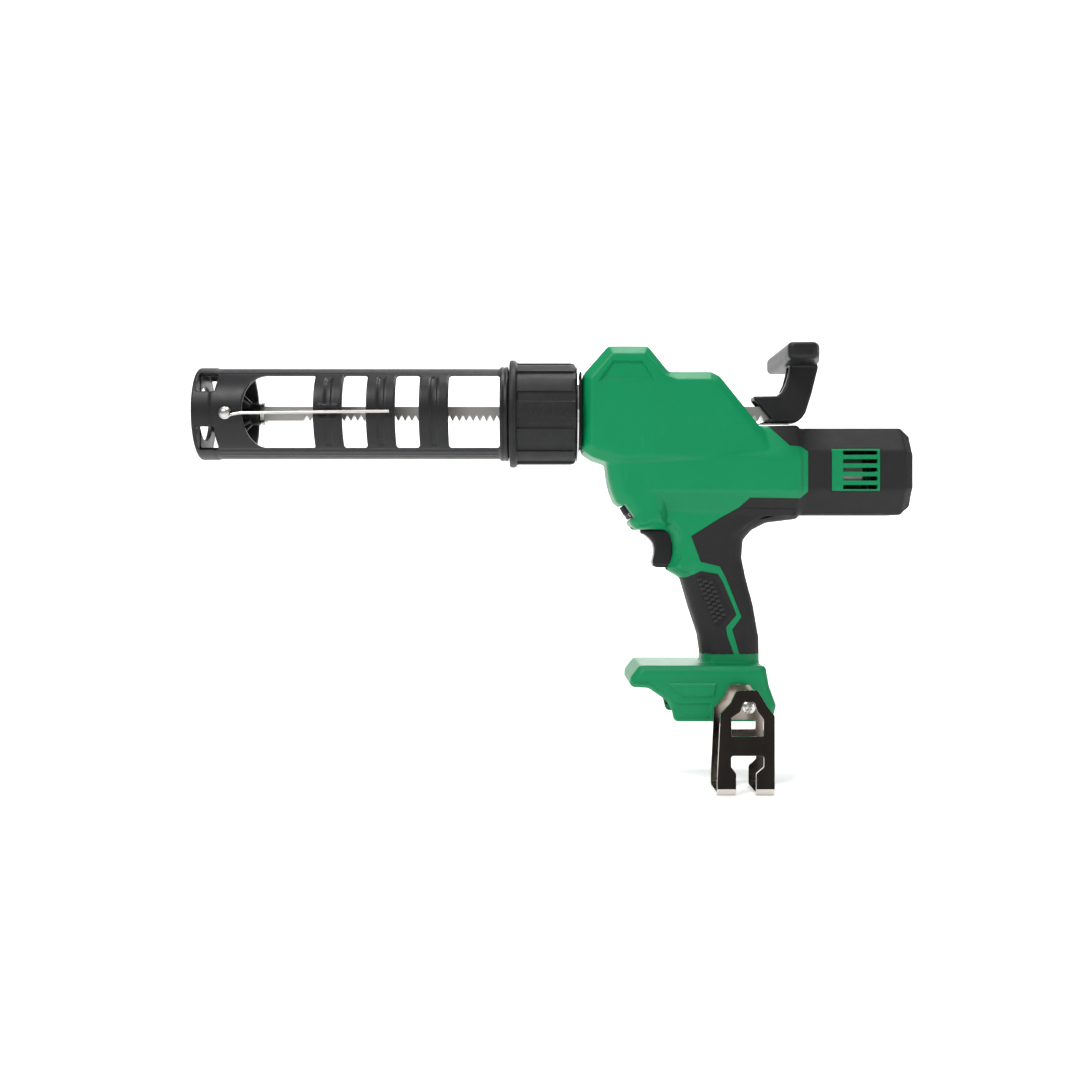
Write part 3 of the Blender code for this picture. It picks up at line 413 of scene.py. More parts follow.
AXIS_Z = 192.7                  # the cartridge's axis
MOTOR_Z = 155.2                 # the motor's axis
WALL = 3.0                      # thickness of the moulding
SEAM = 0.3                      # the gap between neighbouring mouldings
VOXEL = 0.85                    # how finely the mouldings are remeshed, in millimetres

HEAD = [(-83.8, 168.4), (-77.2, 163.8), (-60.0, 158.0), (36.5, 158.0), (36.5, 171.8), (2.5, 214.4),
        (-3.0, 217.3), (-29.6, 217.3), (-42.5, 233.3), (-67.5, 233.3), (-81.8, 217.0),
        (-83.8, 214.0)]
CHIN = [(-68.9, 163.0), (-67.3, 149.9), (-65.5, 142.4), (-62.6, 135.6), (-59.4, 133.6),
        (-53.4, 125.0), (-54.4, 123.4), (-50.4, 118.6), (-30.0, 119.5), (-30.0, 176.0), (-68.9, 176.0)]
GRIP = [(-50.4, 118.6), (-31.2, 118.6), (-28.2, 116.2), (-26.6, 110.0), (-26.4, 104.0), (-27.4, 98.5),
        (-30.6, 93.8), (-20.4, 88.0), (-15.0, 69.1),
        (-9.3, 52.0), (-7.6, 40.0), (-9.0, 14.0), (29.4, 14.0), (28.8, 50.3), (25.2, 71.0),
        (20.6, 88.0), (17.9, 101.0), (18.8, 112.2), (24.0, 118.3), (33.4, 123.1), (54.0, 125.6),
        (54.0, 138.0), (-52.0, 138.0)]
FOOT = [(-54.6, 21.4), (-43.0, 20.6), (-31.4, 12.6), (-28.6, 7.0), (-27.0, 0.0), (33.4, 0.0),
        (36.0, 10.0), (31.6, 22.0), (29.4, 34.6), (-48.4, 34.8), (-54.2, 27.4)]
BARREL = [(-31.0, -13.2), (-20.0, -28.0), (20.0, -28.0), (31.0, -13.2), (31.0, 9.0), (20.0, 29.2),
          (-20.0, 29.2), (-31.0, 9.0)]
TAIL = [(-28.0, -12.0), (-16.0, -27.3), (16.0, -27.3), (28.0, -12.0), (28.0, 12.0), (16.0, 27.3),
        (-16.0, 27.3), (-28.0, 12.0)]


def gun_form(depth, fine):
    """The outer form of the gun's body, moved inwards by a depth, as overlapping sections."""
    made = []
    for loop, half, rim, corner in ((HEAD, 27.5, 5.6, 3.5), (CHIN, 25.0, 9.0, 3.0),
                                    (GRIP, 18.5, 12.0, 3.0), (FOOT, 34.0, 3.4, 2.5)):
        outline = inset(loop, depth)
        if fine:
            outline = soften(outline, corner)
        segments = 1 if rim < 6 or not fine else 6
        size = max(0.5, rim - depth * (1.5 if rim > 6 else 1.0))
        made.append(slab("section", outline, depth - half, half - depth, "Y", size if fine else
                         min(size, 6.0), segments))
    for loop, low, high, rim in ((BARREL, -52.0, 60.0, 9.0), (TAIL, 41.0, 122.8, 6.2)):
        outline = soften(inset(loop, depth), 2.0) if fine else inset(loop, depth)
        tunnel = slab("section", outline, low + depth, high - depth, "X", rim - depth, 1)
        if loop is BARREL:
            for vertex in tunnel.data.vertices:
                share = (high * MM - vertex.co.x) / ((high - low) * MM)
                vertex.co.y *= 1 - 0.2 * share
                vertex.co.z *= 1 - 0.08 * share
        tunnel.data.transform(Matrix.Translation((0, 0, MOTOR_Z * MM)))
        made.append(tunnel)
    return made


def remeshed(name, sections, voxel, rounds):
    """The sections as one skin of even quads, with its edges and inner corners eased."""
    whole = sections[0]
    bm = bmesh.new()
    for section in sections:
        bm.from_mesh(section.data)
    bm.to_mesh(whole.data)
    bm.free()
    for section in sections[1:]:
        bpy.data.objects.remove(section)
    whole.name = name
    skin = whole.modifiers.new("remesh", "REMESH")
    skin.mode = "VOXEL"
    skin.voxel_size = voxel * MM
    ease = whole.modifiers.new("ease", "SMOOTH")
    ease.factor = 0.5
    ease.iterations = rounds
    return freeze(whole)


FOOT_SIDE = 34.0
FOOT_PAD = [(-31.8, 24.3), (-0.9, 24.3), (-2.6, 15.8), (-22.9, 15.8)]
FOOT_STEPS = [([(-60, 25.6), (-42.3, 25.6), (-25.1, 12.1), (-4.6, 12.1), (-4.6, -4), (-60, -4)], 1.2),
              ([(-60, 17.0), (-36.5, 17.0), (-20.6, 4.4), (-4.6, 4.4), (-4.6, -4), (-60, -4)], 2.3)]


def outer_skin():
    """The housing's outer skin, with the pockets and reliefs moulded into its sides."""
    whole = remeshed("gun_skin", gun_form(0.0, True), VOXEL, 7)
    for side in (-1, 1):
        face, deep, shallow = side * 30.0, side * 22.6, side * 27.3
        cut(whole, hull("crest_pocket", [
            (-63.6, deep, 221.0), (-48.0, deep, 221.0), (-65.6, face, 225.0), (-46.0, face, 225.0),
            (-76.4, face, 210.2), (-35.9, face, 210.2), (-73.6, shallow, 210.5),
            (-38.7, shallow, 210.5)]))
        for line, depth in FOOT_STEPS:
            near, far = sorted((side * (FOOT_SIDE - depth), side * 40))
            cut(whole, slab("foot_step", line, near, far, "Y", 0.9))
        near, far = sorted((side * (FOOT_SIDE - 1.5), side * (FOOT_SIDE + 1.5)))
        join(whole, slab("foot_pad", FOOT_PAD, near, far, "Y", 1.1))
    return whole


HEAD_SKIN_EDGE = [(33.0, 200.0), (33.0, 183.3), (45.0, 170.8), (52.3, 170.1), (56.1, 167.0),
                  (56.1, 142.0), (51.5, 138.1), (20.6, 138.6)]
SKINS = {
    "tail_skin": HEAD_SKIN_EDGE + [(14.0, 132.4), (49.0, 131.4), (51.2, 108.0), (140.0, 100.0),
                                   (140.0, 200.0)],
    "rear_grip_skin": [(51.2, 108.0), (49.0, 131.4), (14.0, 132.4), (2.1, 125.6), (-15.3, 114.6),
                       (-9.3, 98.4), (2.6, 95.6), (6.6, 88.0), (16.2, 64.0), (10.4, 56.0),
                       (15.0, 40.4), (45.0, 40.4)],
    "front_grip_skin": [(-40.0, 39.6), (11.6, 40.4), (7.4, 52.0), (6.6, 57.4), (13.2, 65.4),
                        (4.6, 86.0), (1.6, 91.0), (-9.0, 92.8), (-18.4, 88.6), (-40.0, 88.6)],
}
VENT = (70.6, 101.0, 142.4, 169.0)
VENT_SLOTS = 5
SKIN_DEPTH = 1.2
SKIN_SEAM = 0.12                # the fine line left round each overmoulded skin
DIAL_AXIS = Vector((0.507, 0, -0.862)).normalized()
DIAL_CENTRE = Vector((-49.2, 0, 133.2))
DIAL_LEAN = Vector((0, 0, 1)).rotation_difference(DIAL_AXIS).to_matrix().to_4x4()
DIAL_R, DIAL_HALF = 9.0, 4.65
DIAL_NOTCH = [(-56.7, 134.7), (-50.7, 126.1), (-58.0, 121.5), (-64.5, 130.5)]
DIAL_WALL = [(-60.5, 137.0), (-55.6, 138.2), (-46.6, 125.4), (-49.8, 121.4), (-56.0, 126.0)]
SCREWS = [(-57.0, 226.0), (-73.0, 176.0), (-4.0, 207.0), (-59.5, 143.0), (114.0, 155.2),
          (26.0, 127.0), (6.0, 66.0), (-40.0, 27.6)]
HOOK_SCREW = (18.0, 9.7)


def screw_reach(z):
    """How far out to the right a housing screw's boss stands, at a height on the gun."""
    if z < 35:
        return 30
    return 15 if z < 130 else 24


def cut_ways(shell):
    """The openings for the rod, trigger, dial, battery, vents and screws."""
    cut(shell, block("rod_way", (-95, -4.7, AXIS_Z - 5.2), (60, 4.7, AXIS_Z + 5.2)))
    cut(shell, rod("hub_way", 10.0, -95, -76, (0, 0, AXIS_Z), "X", 40))
    cut(shell, block("trigger_way", (-52, -8.4, 93.4), (-18, 8.4, 120.3)))
    bm = bmesh.new()
    bmesh.ops.create_cone(bm, cap_ends=True, segments=48, radius1=DIAL_R + 0.5, radius2=DIAL_R + 0.5,
                          depth=2 * DIAL_HALF + 1, matrix=Matrix.Translation(DIAL_CENTRE) @ DIAL_LEAN)
    cut(shell, mesh_piece("dial_way", bm))
    cut(shell, slab("dial_notch", DIAL_NOTCH, -60, 60))
    pitch = (VENT[3] - VENT[2] - 2.6) / (2 * VENT_SLOTS - 1)
    for i in range(VENT_SLOTS):
        low = VENT[2] + 1.3 + i * 2 * pitch
        for side in (-1, 1):
            near, far = sorted((side * 16, side * 40))
            slot = soften(oblong(VENT[0] + 7.2, low, VENT[1] - 1.8, low + pitch), 0.6, 3)
            cut(shell, slab("slot", slot, near, far))
    cut(shell, block("battery_way", (-60, -26, -5), (26, 26, 12.6)))
    cut(shell, block("rail_way", (-60, -29, 4.0), (26, 29, 9.0)))
    cut(shell, rod("hook_screw_way", 1.9, -60, -26, (HOOK_SCREW[0], 0, HOOK_SCREW[1])))
    cut_screw_ways(shell)


def cut_screw_ways(solid):
    for x, z in SCREWS:
        reach = screw_reach(z)
        cut(solid, rod("screw_way", 1.8, -reach + 2, 60, (x, 0, z)))
        cut(solid, rod("head_way", 3.3, reach - 6, 60, (x, 0, z)))


def half_of(obj, name, side):
    made = twin(obj, name)
    near, far = sorted((side * SEAM / 2, side * 90))
    return combine(made, block("half", (-200, near, -60), (200, far, 300)), "INTERSECT")


def vent_block(grow):
    return block("vent", (VENT[0] - grow, -60, VENT[2] - grow), (VENT[1] + grow, 60, VENT[3] + grow))


def dress(obj, material, body="gun_body", node=None, smooth=SHARP_FROM):
    """Finishes a piece: its shading, material and body, and the CAD node it stands for."""
    obj.data.materials.clear()
    obj.data.materials.append(material)
    if obj.type == "MESH":
        obj.data.shade_smooth()
        obj.data.set_sharp_from_angle(angle=math.radians(smooth))
    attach(obj, body)
    if node:
        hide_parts(node)
    return obj


green_nylon = moulded("green_nylon", (0.0, 0.218, 0.078), (0.0, 0.252, 0.091), 2600, 0.44)
skin_form = outer_skin()
inner_form = gun_form(WALL, False)
core = join(inner_form[0], *inner_form[1:])
under_form = gun_form(SKIN_DEPTH + SEAM, False)
bed = join(under_form[0], *under_form[1:])
shell = twin(skin_form, "shell")
for edge_loop in SKINS.values():
    cut(shell, slab("skin_pocket", edge_loop, -70, 70))
vent_panel = combine(vent_block(-SEAM), skin_form, "INTERSECT", keep=True)
join(shell, vent_panel, bed)
cut(shell, core)
join(shell, combine(block("roof", (-56, -40, -1), (40, 40, 15.4)), skin_form, "INTERSECT", keep=True))
for near, far in ((-40, -12), (12, 40)):
    join(shell, combine(block("neck_rib", (-12, near, 33), (30, far, 41)), skin_form, "INTERSECT",
                        keep=True))
join(shell, combine(slab("dial_wall", DIAL_WALL, -30, 30), skin_form, "INTERSECT", keep=True))
cut_ways(shell)
for side, word in ((-1, "left"), (1, "right")):
    half = half_of(shell, f"{word}_housing", side)
    dress(half, green_nylon, node=f"housing_{word}")
bpy.data.objects.remove(shell)


# ---------------------------------------------------------------- soft overmould
# Black thermoplastic rubber, moulded over the housing in pockets, covers the tail, the back of the
# grip and its front. It has a fine matte grain, and rows of raised pads where the fingers close.

soft_rubber = moulded("soft_rubber", (0.0125, 0.012, 0.0125), (0.018, 0.0173, 0.0178), 3400, 0.62, 0.35)
soft_form = gun_form(SKIN_DEPTH, False)
soft_bed = join(soft_form[0], *soft_form[1:])
PAD_PANEL = [(-13.4, 87.0), (-9.4, 90.2), (-2.2, 89.4), (0.0, 88.0), (9.2, 65.8), (2.5, 58.4),
             (-2.2, 58.8), (-6.4, 68.1)]
floor_form = gun_form(0.55, False)
pad_floor = join(floor_form[0], *floor_form[1:])
soft_pieces = {}
for name, loop in SKINS.items():
    cover = combine(slab("cover", inset(loop, SKIN_SEAM), -70, 70), skin_form, "INTERSECT", keep=True)
    cut(cover, soft_bed, keep=True)
    if name == "front_grip_skin":
        panel = slab("panel", soften(PAD_PANEL, 2.0), -70, 70)
        cut(panel, pad_floor, keep=True)
        cut(cover, panel)
    if name == "tail_skin":
        cut(cover, vent_block(0.0))
    cut_screw_ways(cover)
    for side, word in ((-1, "left"), (1, "right")):
        half = dress(half_of(cover, f"{word}_{name}", side), soft_rubber,
                     node=f"{name}_{word}")
        soft_pieces[name, word] = half
    bpy.data.objects.remove(cover)
for spare in (skin_form, soft_bed, pad_floor):
    bpy.data.objects.remove(spare)

# The pads are coloured lighter than the rubber round them: painted light on the raised pads, which makes
# the gaps between them read as painted shade.
pad_rubber = moulded("pad_rubber", (0.030, 0.029, 0.030), (0.042, 0.041, 0.042), 3400, 0.5, 0.35)
PAD_ROWS, PAD_COLUMNS = 19, 7
PAD_PITCH = (3.6, 2.5)          # across and along the grip
PAD_SIZE = (2.75, 1.65, 1.9)
PAD_LEAN = math.radians(-14)


def inside(point, loop):
    """Whether a point lies inside an outline."""
    crossings = 0
    for i, (x1, y1) in enumerate(loop):
        x0, y0 = loop[i - 1]
        if (y0 > point[1]) != (y1 > point[1]):
            crossings += point[0] < (x1 - x0) * (point[1] - y0) / (y1 - y0) + x0
    return crossings % 2 == 1


def pad_rows(name, surface, side):
    """Raised pads laid like bricks on a surface, as seen from one side of the gun."""
    depsgraph = bpy.context.evaluated_depsgraph_get()
    tree = BVHTree.FromObject(surface, depsgraph)
    panel = inset(PAD_PANEL, 1.5)
    bm = bmesh.new()
    for row in range(-PAD_ROWS, PAD_ROWS):
        for column in range(-PAD_COLUMNS, PAD_COLUMNS):
            across = (column + 0.5 * (row % 2)) * PAD_PITCH[0]
            along = row * PAD_PITCH[1]
            x = -2.0 + across * math.cos(PAD_LEAN) - along * math.sin(PAD_LEAN)
            z = 75.0 + along * math.cos(PAD_LEAN) + across * math.sin(PAD_LEAN)
            if not inside((x, z), panel):
                continue
            hit, normal, _, _ = tree.ray_cast(Vector((x, side * 60, z)) * MM, Vector((0, -side, 0)))
            if hit is None:
                continue
            turn = normal.to_track_quat("Z", "Y").to_matrix().to_4x4()
            spin = Matrix.Rotation(PAD_LEAN * side, 4, "Z")
            bmesh.ops.create_cube(bm, size=1, matrix=Matrix.Translation(hit / MM) @ turn @ spin
                                  @ Matrix.Diagonal((PAD_SIZE[0], PAD_SIZE[1], PAD_SIZE[2], 1)))
    bmesh.ops.bevel(bm, geom=bm.edges[:], offset=0.28, segments=2, profile=0.5, affect="EDGES")
    return mesh_piece(name, bm)


for side, word in ((-1, "left"), (1, "right")):
    pads = pad_rows(f"{word}_grip_pads", soft_pieces["front_grip_skin", word], side)
    dress(pads, pad_rubber)


# ---------------------------------------------------------------- cartridge holder
# A half pipe of black nylon carries the cartridge: two long rails joined by three bands, with a cup at
# the front whose end wall takes the cartridge's shoulder. Its back flange is held by the collar.

def turned(name, profile, at, along="X", steps=96):
    """A closed (distance along the axis, radius) outline turned about an axis through a point."""
    bm = bmesh.new()
    rings = []
    for distance, radius in profile:
        spots = 1 if radius == 0 else steps
        rings.append([bm.verts.new((radius * math.cos(2 * math.pi * k / steps),
                                    radius * math.sin(2 * math.pi * k / steps), distance))
                      for k in range(spots)])
    for i, ring in enumerate(rings):
        last = rings[i - 1]
        for k in range(steps):
            corners = dict.fromkeys((last[k % len(last)], last[(k + 1) % len(last)],
                                     ring[(k + 1) % len(ring)], ring[k % len(ring)]))
            if len(corners) > 2:
                bm.faces.new(corners)
    bmesh.ops.recalc_face_normals(bm, faces=bm.faces)
    bm.transform(Matrix.Translation(at) @ POINTED[along])
    return mesh_piece(name, bm)


BARREL_AT = (0, 0, AXIS_Z)
HOLDER_R, HOLDER_BORE, RAIL_Z = 28.8, 26.2, 22.5
BANDS = ((-250.8, -232.8), (-218.1, -199.9), (-185.3, -166.9))
RIVET = (-304.6, 190.7)
WIRE_Y = -31.0

black_nylon = moulded("black_nylon", (0.0115, 0.0115, 0.0125), (0.0165, 0.0165, 0.018), 2200, 0.42, 0.6)
holder = turned("holder", [(-326.5, 17.6), (-326.5, 28.6), (-325.7, 29.4), (-315.2, 29.4),
                           (-314.4, HOLDER_R), (-135.2, HOLDER_R), (-135.2, 29.6), (-134.6, 30.2),
                           (-133.4, 30.2), (-132.8, 29.7), (-132.0, 29.7), (-131.6, 30.2), (-130.1, 30.2),
                           (-130.1, 27.3), (-121.3, 27.3), (-121.3, 29.0), (-113.4, 29.0),
                           (-113.4, 24.5), (-128.0, 24.5), (-128.0, HOLDER_BORE),
                           (-323.0, HOLDER_BORE), (-323.6, 25.0), (-323.6, 17.0), (-325.9, 17.0)],
                BARREL_AT)
cut(holder, block("open_side", (-295, 3, AXIS_Z - 40), (-135.2, 60, AXIS_Z + 40)))
arch = [(-282.0 - 13.0 * math.sin(math.pi * i / 16), AXIS_Z + RAIL_Z * math.cos(math.pi * i / 16))
        for i in range(17)]
arch += [(BANDS[0][0], AXIS_Z - RAIL_Z), (BANDS[0][0], AXIS_Z + RAIL_Z)]
cut(holder, slab("arch", arch, -60, 0))
gaps = [x for band in BANDS for x in band][1:] + [-135.2]
for low, high in zip(gaps[::2], gaps[1::2]):
    window = soften(oblong(low, AXIS_Z - RAIL_Z, high, AXIS_Z + RAIL_Z), 1.6)
    cut(holder, slab("window", window, -60, 0))
for side in (-1, 1):
    near, far = sorted((side * 14, side * 60))
    for low, high in ((12.0, 24.0), (-23.6, -10.0)):
        notch = soften(oblong(-324.0, AXIS_Z + low, -311.8, AXIS_Z + high), 1.5)
        cut(holder, slab("nose_window", notch, near, far))
for low, high in BANDS:
    middle = (low + high) / 2
    groove = turned("groove", [(middle - 2.2, 28.0), (middle - 2.4, 36), (middle + 2.4, 36),
                               (middle + 2.2, 28.0)], BARREL_AT)
    combine(groove, block("near_side", (-400, -60, AXIS_Z - RAIL_Z + 1), (0, 0, AXIS_Z + RAIL_Z - 1)),
            "INTERSECT")
    cut(holder, groove)
for degrees in (16, 25, 34):
    for up in (-1, 1):
        lean = math.radians(degrees)
        line_r = HOLDER_R + 0.25
        at = (0, -line_r * math.sin(lean), AXIS_Z + up * line_r * math.cos(lean))
        cut(holder, rod("rail_line", 0.75, -312.0, -136.5, at, "X", 12))
for up in (-1, 1):
    ridge = AXIS_Z - 1.3 + up * 3.4
    join(holder, block("clip_ridge", (-247, -29.5, ridge - 0.9), (-236, -28.0, ridge + 0.9)))
cut(holder, rod("rivet_way", 1.9, -40, -20, (RIVET[0], 0, RIVET[1])))
holder = remeshed("open_cartridge_holder", [holder], 0.6, 2)
dress(holder, black_nylon, "holder", "cartridge_holder")


# ---------------------------------------------------------------- puncture wire
# A straight 2 mm zinc-plated wire, with an eye bent in one end, is held by a domed steel rivet on the
# cup. It lies in the clip on the first band, and swings out to open a fresh cartridge's nozzle.

def plated(name, colour, roughness, streak=(1, 1, 1), scale=300, wear=0.3):
    """Plated metal: fine streaks along its length, a patchy dull bloom, and small dark specks."""
    finish = Finish(name, {"Metallic": 1.0})
    lines = finish.noise(scale, 4, streak)
    bloom = finish.noise(60, 3)
    specks = finish.ramp(finish.noise(1400, 2), (0.68, 0.0), (0.78, 1.0)) * wear
    dull = tuple(c * 0.72 for c in colour)
    tone = finish.blend(bloom, colour, tuple(c * 0.88 for c in colour))
    finish.feed("Base Color", finish.blend(specks, tone, dull))
    finish.feed("Roughness", lines * 0.16 + bloom * 0.1 + specks * 0.2 + (roughness - 0.12))
    finish.bump(lines + specks * -0.5, 0.02, 0.35)
    return finish.material


def wire_curve(name, route, radius):
    curve = bpy.data.curves.new(name, "CURVE")
    curve.dimensions = "3D"
    curve.bevel_depth = radius * MM
    curve.bevel_resolution = 5
    curve.use_fill_caps = True
    spline = curve.splines.new("POLY")
    spline.points.add(len(route) - 1)
    for point, spot in zip(spline.points, route):
        point.co = (*(Vector(spot) * MM), 1)
    return placed(name, mesh_of(name, curve))


zinc_wire = plated("zinc_wire", (0.62, 0.61, 0.58), 0.3, (0.05, 1, 1), 900)
eye = [(RIVET[0] + 2.95 * math.cos(math.radians(a)), WIRE_Y, RIVET[1] + 2.95 * math.sin(math.radians(a)))
       for a in range(20, 336, 12)]
wire = wire_curve("nozzle_wire", eye + [(-299.4, WIRE_Y, 190.0), (-295.0, WIRE_Y, 190.75),
                                        (-250.0, WIRE_Y, 191.3), (-203.2, WIRE_Y, 191.8)], 1.0)
dress(wire, zinc_wire, "wire", "puncture_wire")
zinc = plated("zinc", (0.60, 0.59, 0.57), 0.34)
rivet = turned("wire_pivot", [(-34.0, 0.0), (-33.9, 1.2), (-33.5, 2.3), (-32.9, 3.0), (-32.4, 3.2),
                              (-32.2, 3.1), (-32.2, 1.6), (-26.4, 1.6), (-26.4, 0.0)],
               (RIVET[0], 0, RIVET[1]), "Y", 48)
dress(rivet, zinc, "holder", "wire_rivet")


# ---------------------------------------------------------------- clamp collar and nose
# The collar screws onto the nose and draws the holder's flange against it. It is a nylon moulding with
# mineral flecks in it, with broad flutes for the fingers and a rounded rim at the front.

def flecked(name):
    """Black nylon with fine pale flecks of filler, duller than the rest."""
    finish = Finish(name, {"IOR": 1.5, "Specular IOR Level": 0.28})
    flecks = finish.ramp(finish.noise(1500, 1), (0.66, 0.0), (0.74, 1.0))
    tone = finish.blend(finish.noise(90, 3), (0.0115, 0.0115, 0.012), (0.0165, 0.0165, 0.0175))
    finish.feed("Base Color", finish.blend(flecks * 0.35, tone, (0.085, 0.085, 0.088)))
    finish.feed("Roughness", finish.noise(140, 3) * 0.16 + 0.44)
    finish.bump(finish.noise(1900, 3), 0.06, 0.5)
    return finish.material


def about_barrel(obj, angle):
    """Turns a tool made on the X axis by an angle, and lifts it to the cartridge's axis."""
    obj.data.transform(Matrix.Rotation(angle, 4, "X"))
    obj.data.transform(Matrix.Translation((0, 0, AXIS_Z * MM)))
    return obj


COLLAR_BORE = 28.0
FLUTES = 12
FLUTE_HALF = 3.3
collar = turned("collar", [(-129.4, COLLAR_BORE + 0.8), (-129.4, 33.4), (-128.6, 34.2), (-127.6, 34.3),
                           (-126.2, 34.3), (-125.2, 33.9), (-124.6, 33.0), (-124.4, 32.4), (-90.4, 32.4),
                           (-88.4, 31.8), (-87.2, 30.4), (-87.2, COLLAR_BORE), (-112.9, COLLAR_BORE),
                           (-112.9, 29.9), (-121.8, 29.9), (-121.8, COLLAR_BORE),
                           (-128.6, COLLAR_BORE)], BARREL_AT, steps=112)
for i in range(FLUTES):
    flute = slab("flute", soften(oblong(-124.6, -FLUTE_HALF, -84.0, FLUTE_HALF), 1.5), 30.9, 40.0, "Z")
    cut(collar, about_barrel(flute, 2 * math.pi * (i + 0.5) / FLUTES))
collar = remeshed("screw_collar", [collar], 0.45, 1)
dress(collar, flecked("flecked_nylon"), "collar", "clamp_collar")


# ---------------------------------------------------------------- rod and piston
# The rod is a steel bar with rack teeth milled along its lower edge, zinc plated after milling. A nylon
# piston with stiffening ribs is held on its front end by a steel nut.

def ease_edges(obj, width):
    """Rounds the sharp edges of a piece a little."""
    edge = obj.modifiers.new("ease", "BEVEL")
    edge.width = width * MM
    edge.segments = 2
    edge.limit_method = "ANGLE"
    edge.angle_limit = math.radians(40)
    return edge


def finish_node(node, material, width=0.0):
    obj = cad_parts[node]
    obj.data.materials.clear()
    obj.data.materials.append(material)
    if width:
        ease_edges(obj, width)


rack_zinc = plated("rack_zinc", (0.56, 0.55, 0.53), 0.36, (0.03, 1, 1), 1100, 0.5)
finish_node("rack", rack_zinc, 0.12)
finish_node("piston_nut", zinc, 0.5)
finish_node("handle_pin", zinc, 0.2)

ROD_WAY = (4.3, 4.7)            # half the width and height of the holes that take the rod
FIN = [(-310.0, 20.5), (-310.0, -20.5), (-306.5, -20.0), (-301.0, -14.0), (-293.0, -6.0),
       (-293.0, 6.0), (-301.0, 14.0), (-306.5, 20.0)]
piston = turned("piston", [(-314.0, 0.0), (-314.0, 22.6), (-313.1, 23.5), (-308.6, 23.5), (-307.8, 22.7),
                           (-307.8, 7.0), (-289.2, 7.0), (-288.0, 6.0), (-288.0, 0.0)], BARREL_AT)
for i in range(4):
    join(piston, about_barrel(slab("fin", FIN, -1.3, 1.3), math.pi * i / 4))
cut(piston, block("rod_way", (-299.8, -ROD_WAY[0], AXIS_Z - ROD_WAY[1]),
                  (-280, ROD_WAY[0], AXIS_Z + ROD_WAY[1])))
piston = remeshed("ribbed_piston", [piston], 0.5, 2)
dress(piston, black_nylon, "rod", "piston")


# ---------------------------------------------------------------- pull handle
# A glass-filled nylon lever is pinned to the back of the rod. Its T-shaped top is drawn back by two
# fingers, and its stem has a shallow channel down the front.

HANDLE = [(29.3, 186.4), (50.2, 186.4), (53.4, 187.2), (56.4, 189.6), (58.7, 193.1), (62.7, 205.8),
          (66.6, 221.7), (65.0, 229.0), (49.5, 229.0), (48.0, 218.6), (46.0, 211.2), (43.4, 206.2),
          (40.4, 203.7), (25.9, 203.5), (25.9, 201.4), (36.4, 188.6)]
T_BAR = [(41.5, -41.9), (58.6, -41.9), (61.6, -36.0), (66.4, -12.0), (66.4, 12.0), (61.6, 36.0),
         (58.6, 41.9), (41.5, 41.9)]


def cushioned(name, loop, low, high, along, radius, layers=4):
    """The layers of an outline made solid with rounded rims: each one is longer and narrower."""
    made = []
    for i in range(layers + 1):
        turn = math.pi / 2 * i / layers
        back = radius * (1 - math.sin(turn))
        step = inset(loop, radius * (1 - math.cos(turn)) + 0.001)
        made.append(slab(name, step, low + back, high - back, along))
    return made


grip_bar = cushioned("bar", soften(T_BAR, 4.5), 222.9, 233.6, "Z", 2.6)
stem = cushioned("stem", HANDLE, -8.8, 8.8, "Y", 1.6)
stem = remeshed("tee_handle", stem + grip_bar, 0.5, 5)
channel = soften([(38, 206.5), (45.8, 206.5), (48.2, 211.0), (50.2, 218.0), (50.6, 222.6),
                  (38, 222.6)], 1.0)
cut(stem, slab("channel", channel, -3.6, 3.6, "Y", 0.6, 2))
cut(stem, block("rod_way", (20, -ROD_WAY[0], AXIS_Z - ROD_WAY[1]),
                (50.3, ROD_WAY[0], AXIS_Z + ROD_WAY[1])))
mouth = [(20, 188.3), (36.5, 188.3), (33.5, 201.3), (20, 201.3)]
cut(stem, slab("mouth", mouth, -6.4, 6.4, "Y", 1.2, 3))
cut(stem, rod("pin_way", 1.8, -8, 20, (44.0, 0, AXIS_Z)))
dress(stem, black_nylon, "rod", "pull_handle")


# ---------------------------------------------------------------- trigger and speed dial
# The trigger is a satin nylon lever that slides straight back against the switch. The dial beside it
# is a knurled wheel whose rim shows through the housing, with pale numbers printed round it.

TRIGGER = [(-46.3, 116.6), (-43.6, 115.6), (-40.6, 113.2), (-38.4, 110.2), (-37.5, 106.6),
           (-37.6, 103.0), (-38.7, 98.4), (-38.2, 95.6), (-36.0, 94.7), (-27.4, 94.6), (-25.0, 97.0),
           (-25.0, 119.9), (-45.8, 119.4)]
lever = cushioned("lever", soften(TRIGGER, 0.8), -7.8, 7.8, "Y", 2.0, 5)
lever = remeshed("slide_trigger", lever, 0.4, 4)
join(lever, rod("plunger", 2.2, -27, -16, (0, 0, 106), "X"))
satin_nylon = moulded("satin_nylon", (0.012, 0.012, 0.0133), (0.0165, 0.0165, 0.018), 3000, 0.34, 0.4)
dress(lever, satin_nylon, "trigger", "trigger")

KNURLS = 40
rim = []
for i in range(KNURLS * 4):
    lift = 0.0 if i % 4 < 2 else -0.45
    turn = 2 * math.pi * i / (KNURLS * 4)
    rim.append(((DIAL_R + lift) * math.cos(turn), (DIAL_R + lift) * math.sin(turn)))
wheel = slab("wheel", rim, -DIAL_HALF, DIAL_HALF - 3.6, "Z")
join(wheel, turned("band", [(0.0, 0.0), (0.0, DIAL_R - 0.25), (DIAL_HALF - 0.5, DIAL_R - 0.25),
                            (DIAL_HALF, DIAL_R - 0.75), (DIAL_HALF, 0.0)], (0, 0, 0), "Z", 64))
wheel.data.transform(Matrix.Translation(DIAL_CENTRE * MM) @ DIAL_LEAN)
wheel.name = "speed_wheel"
dress(wheel, satin_nylon, "dial", "speed_dial", 30)

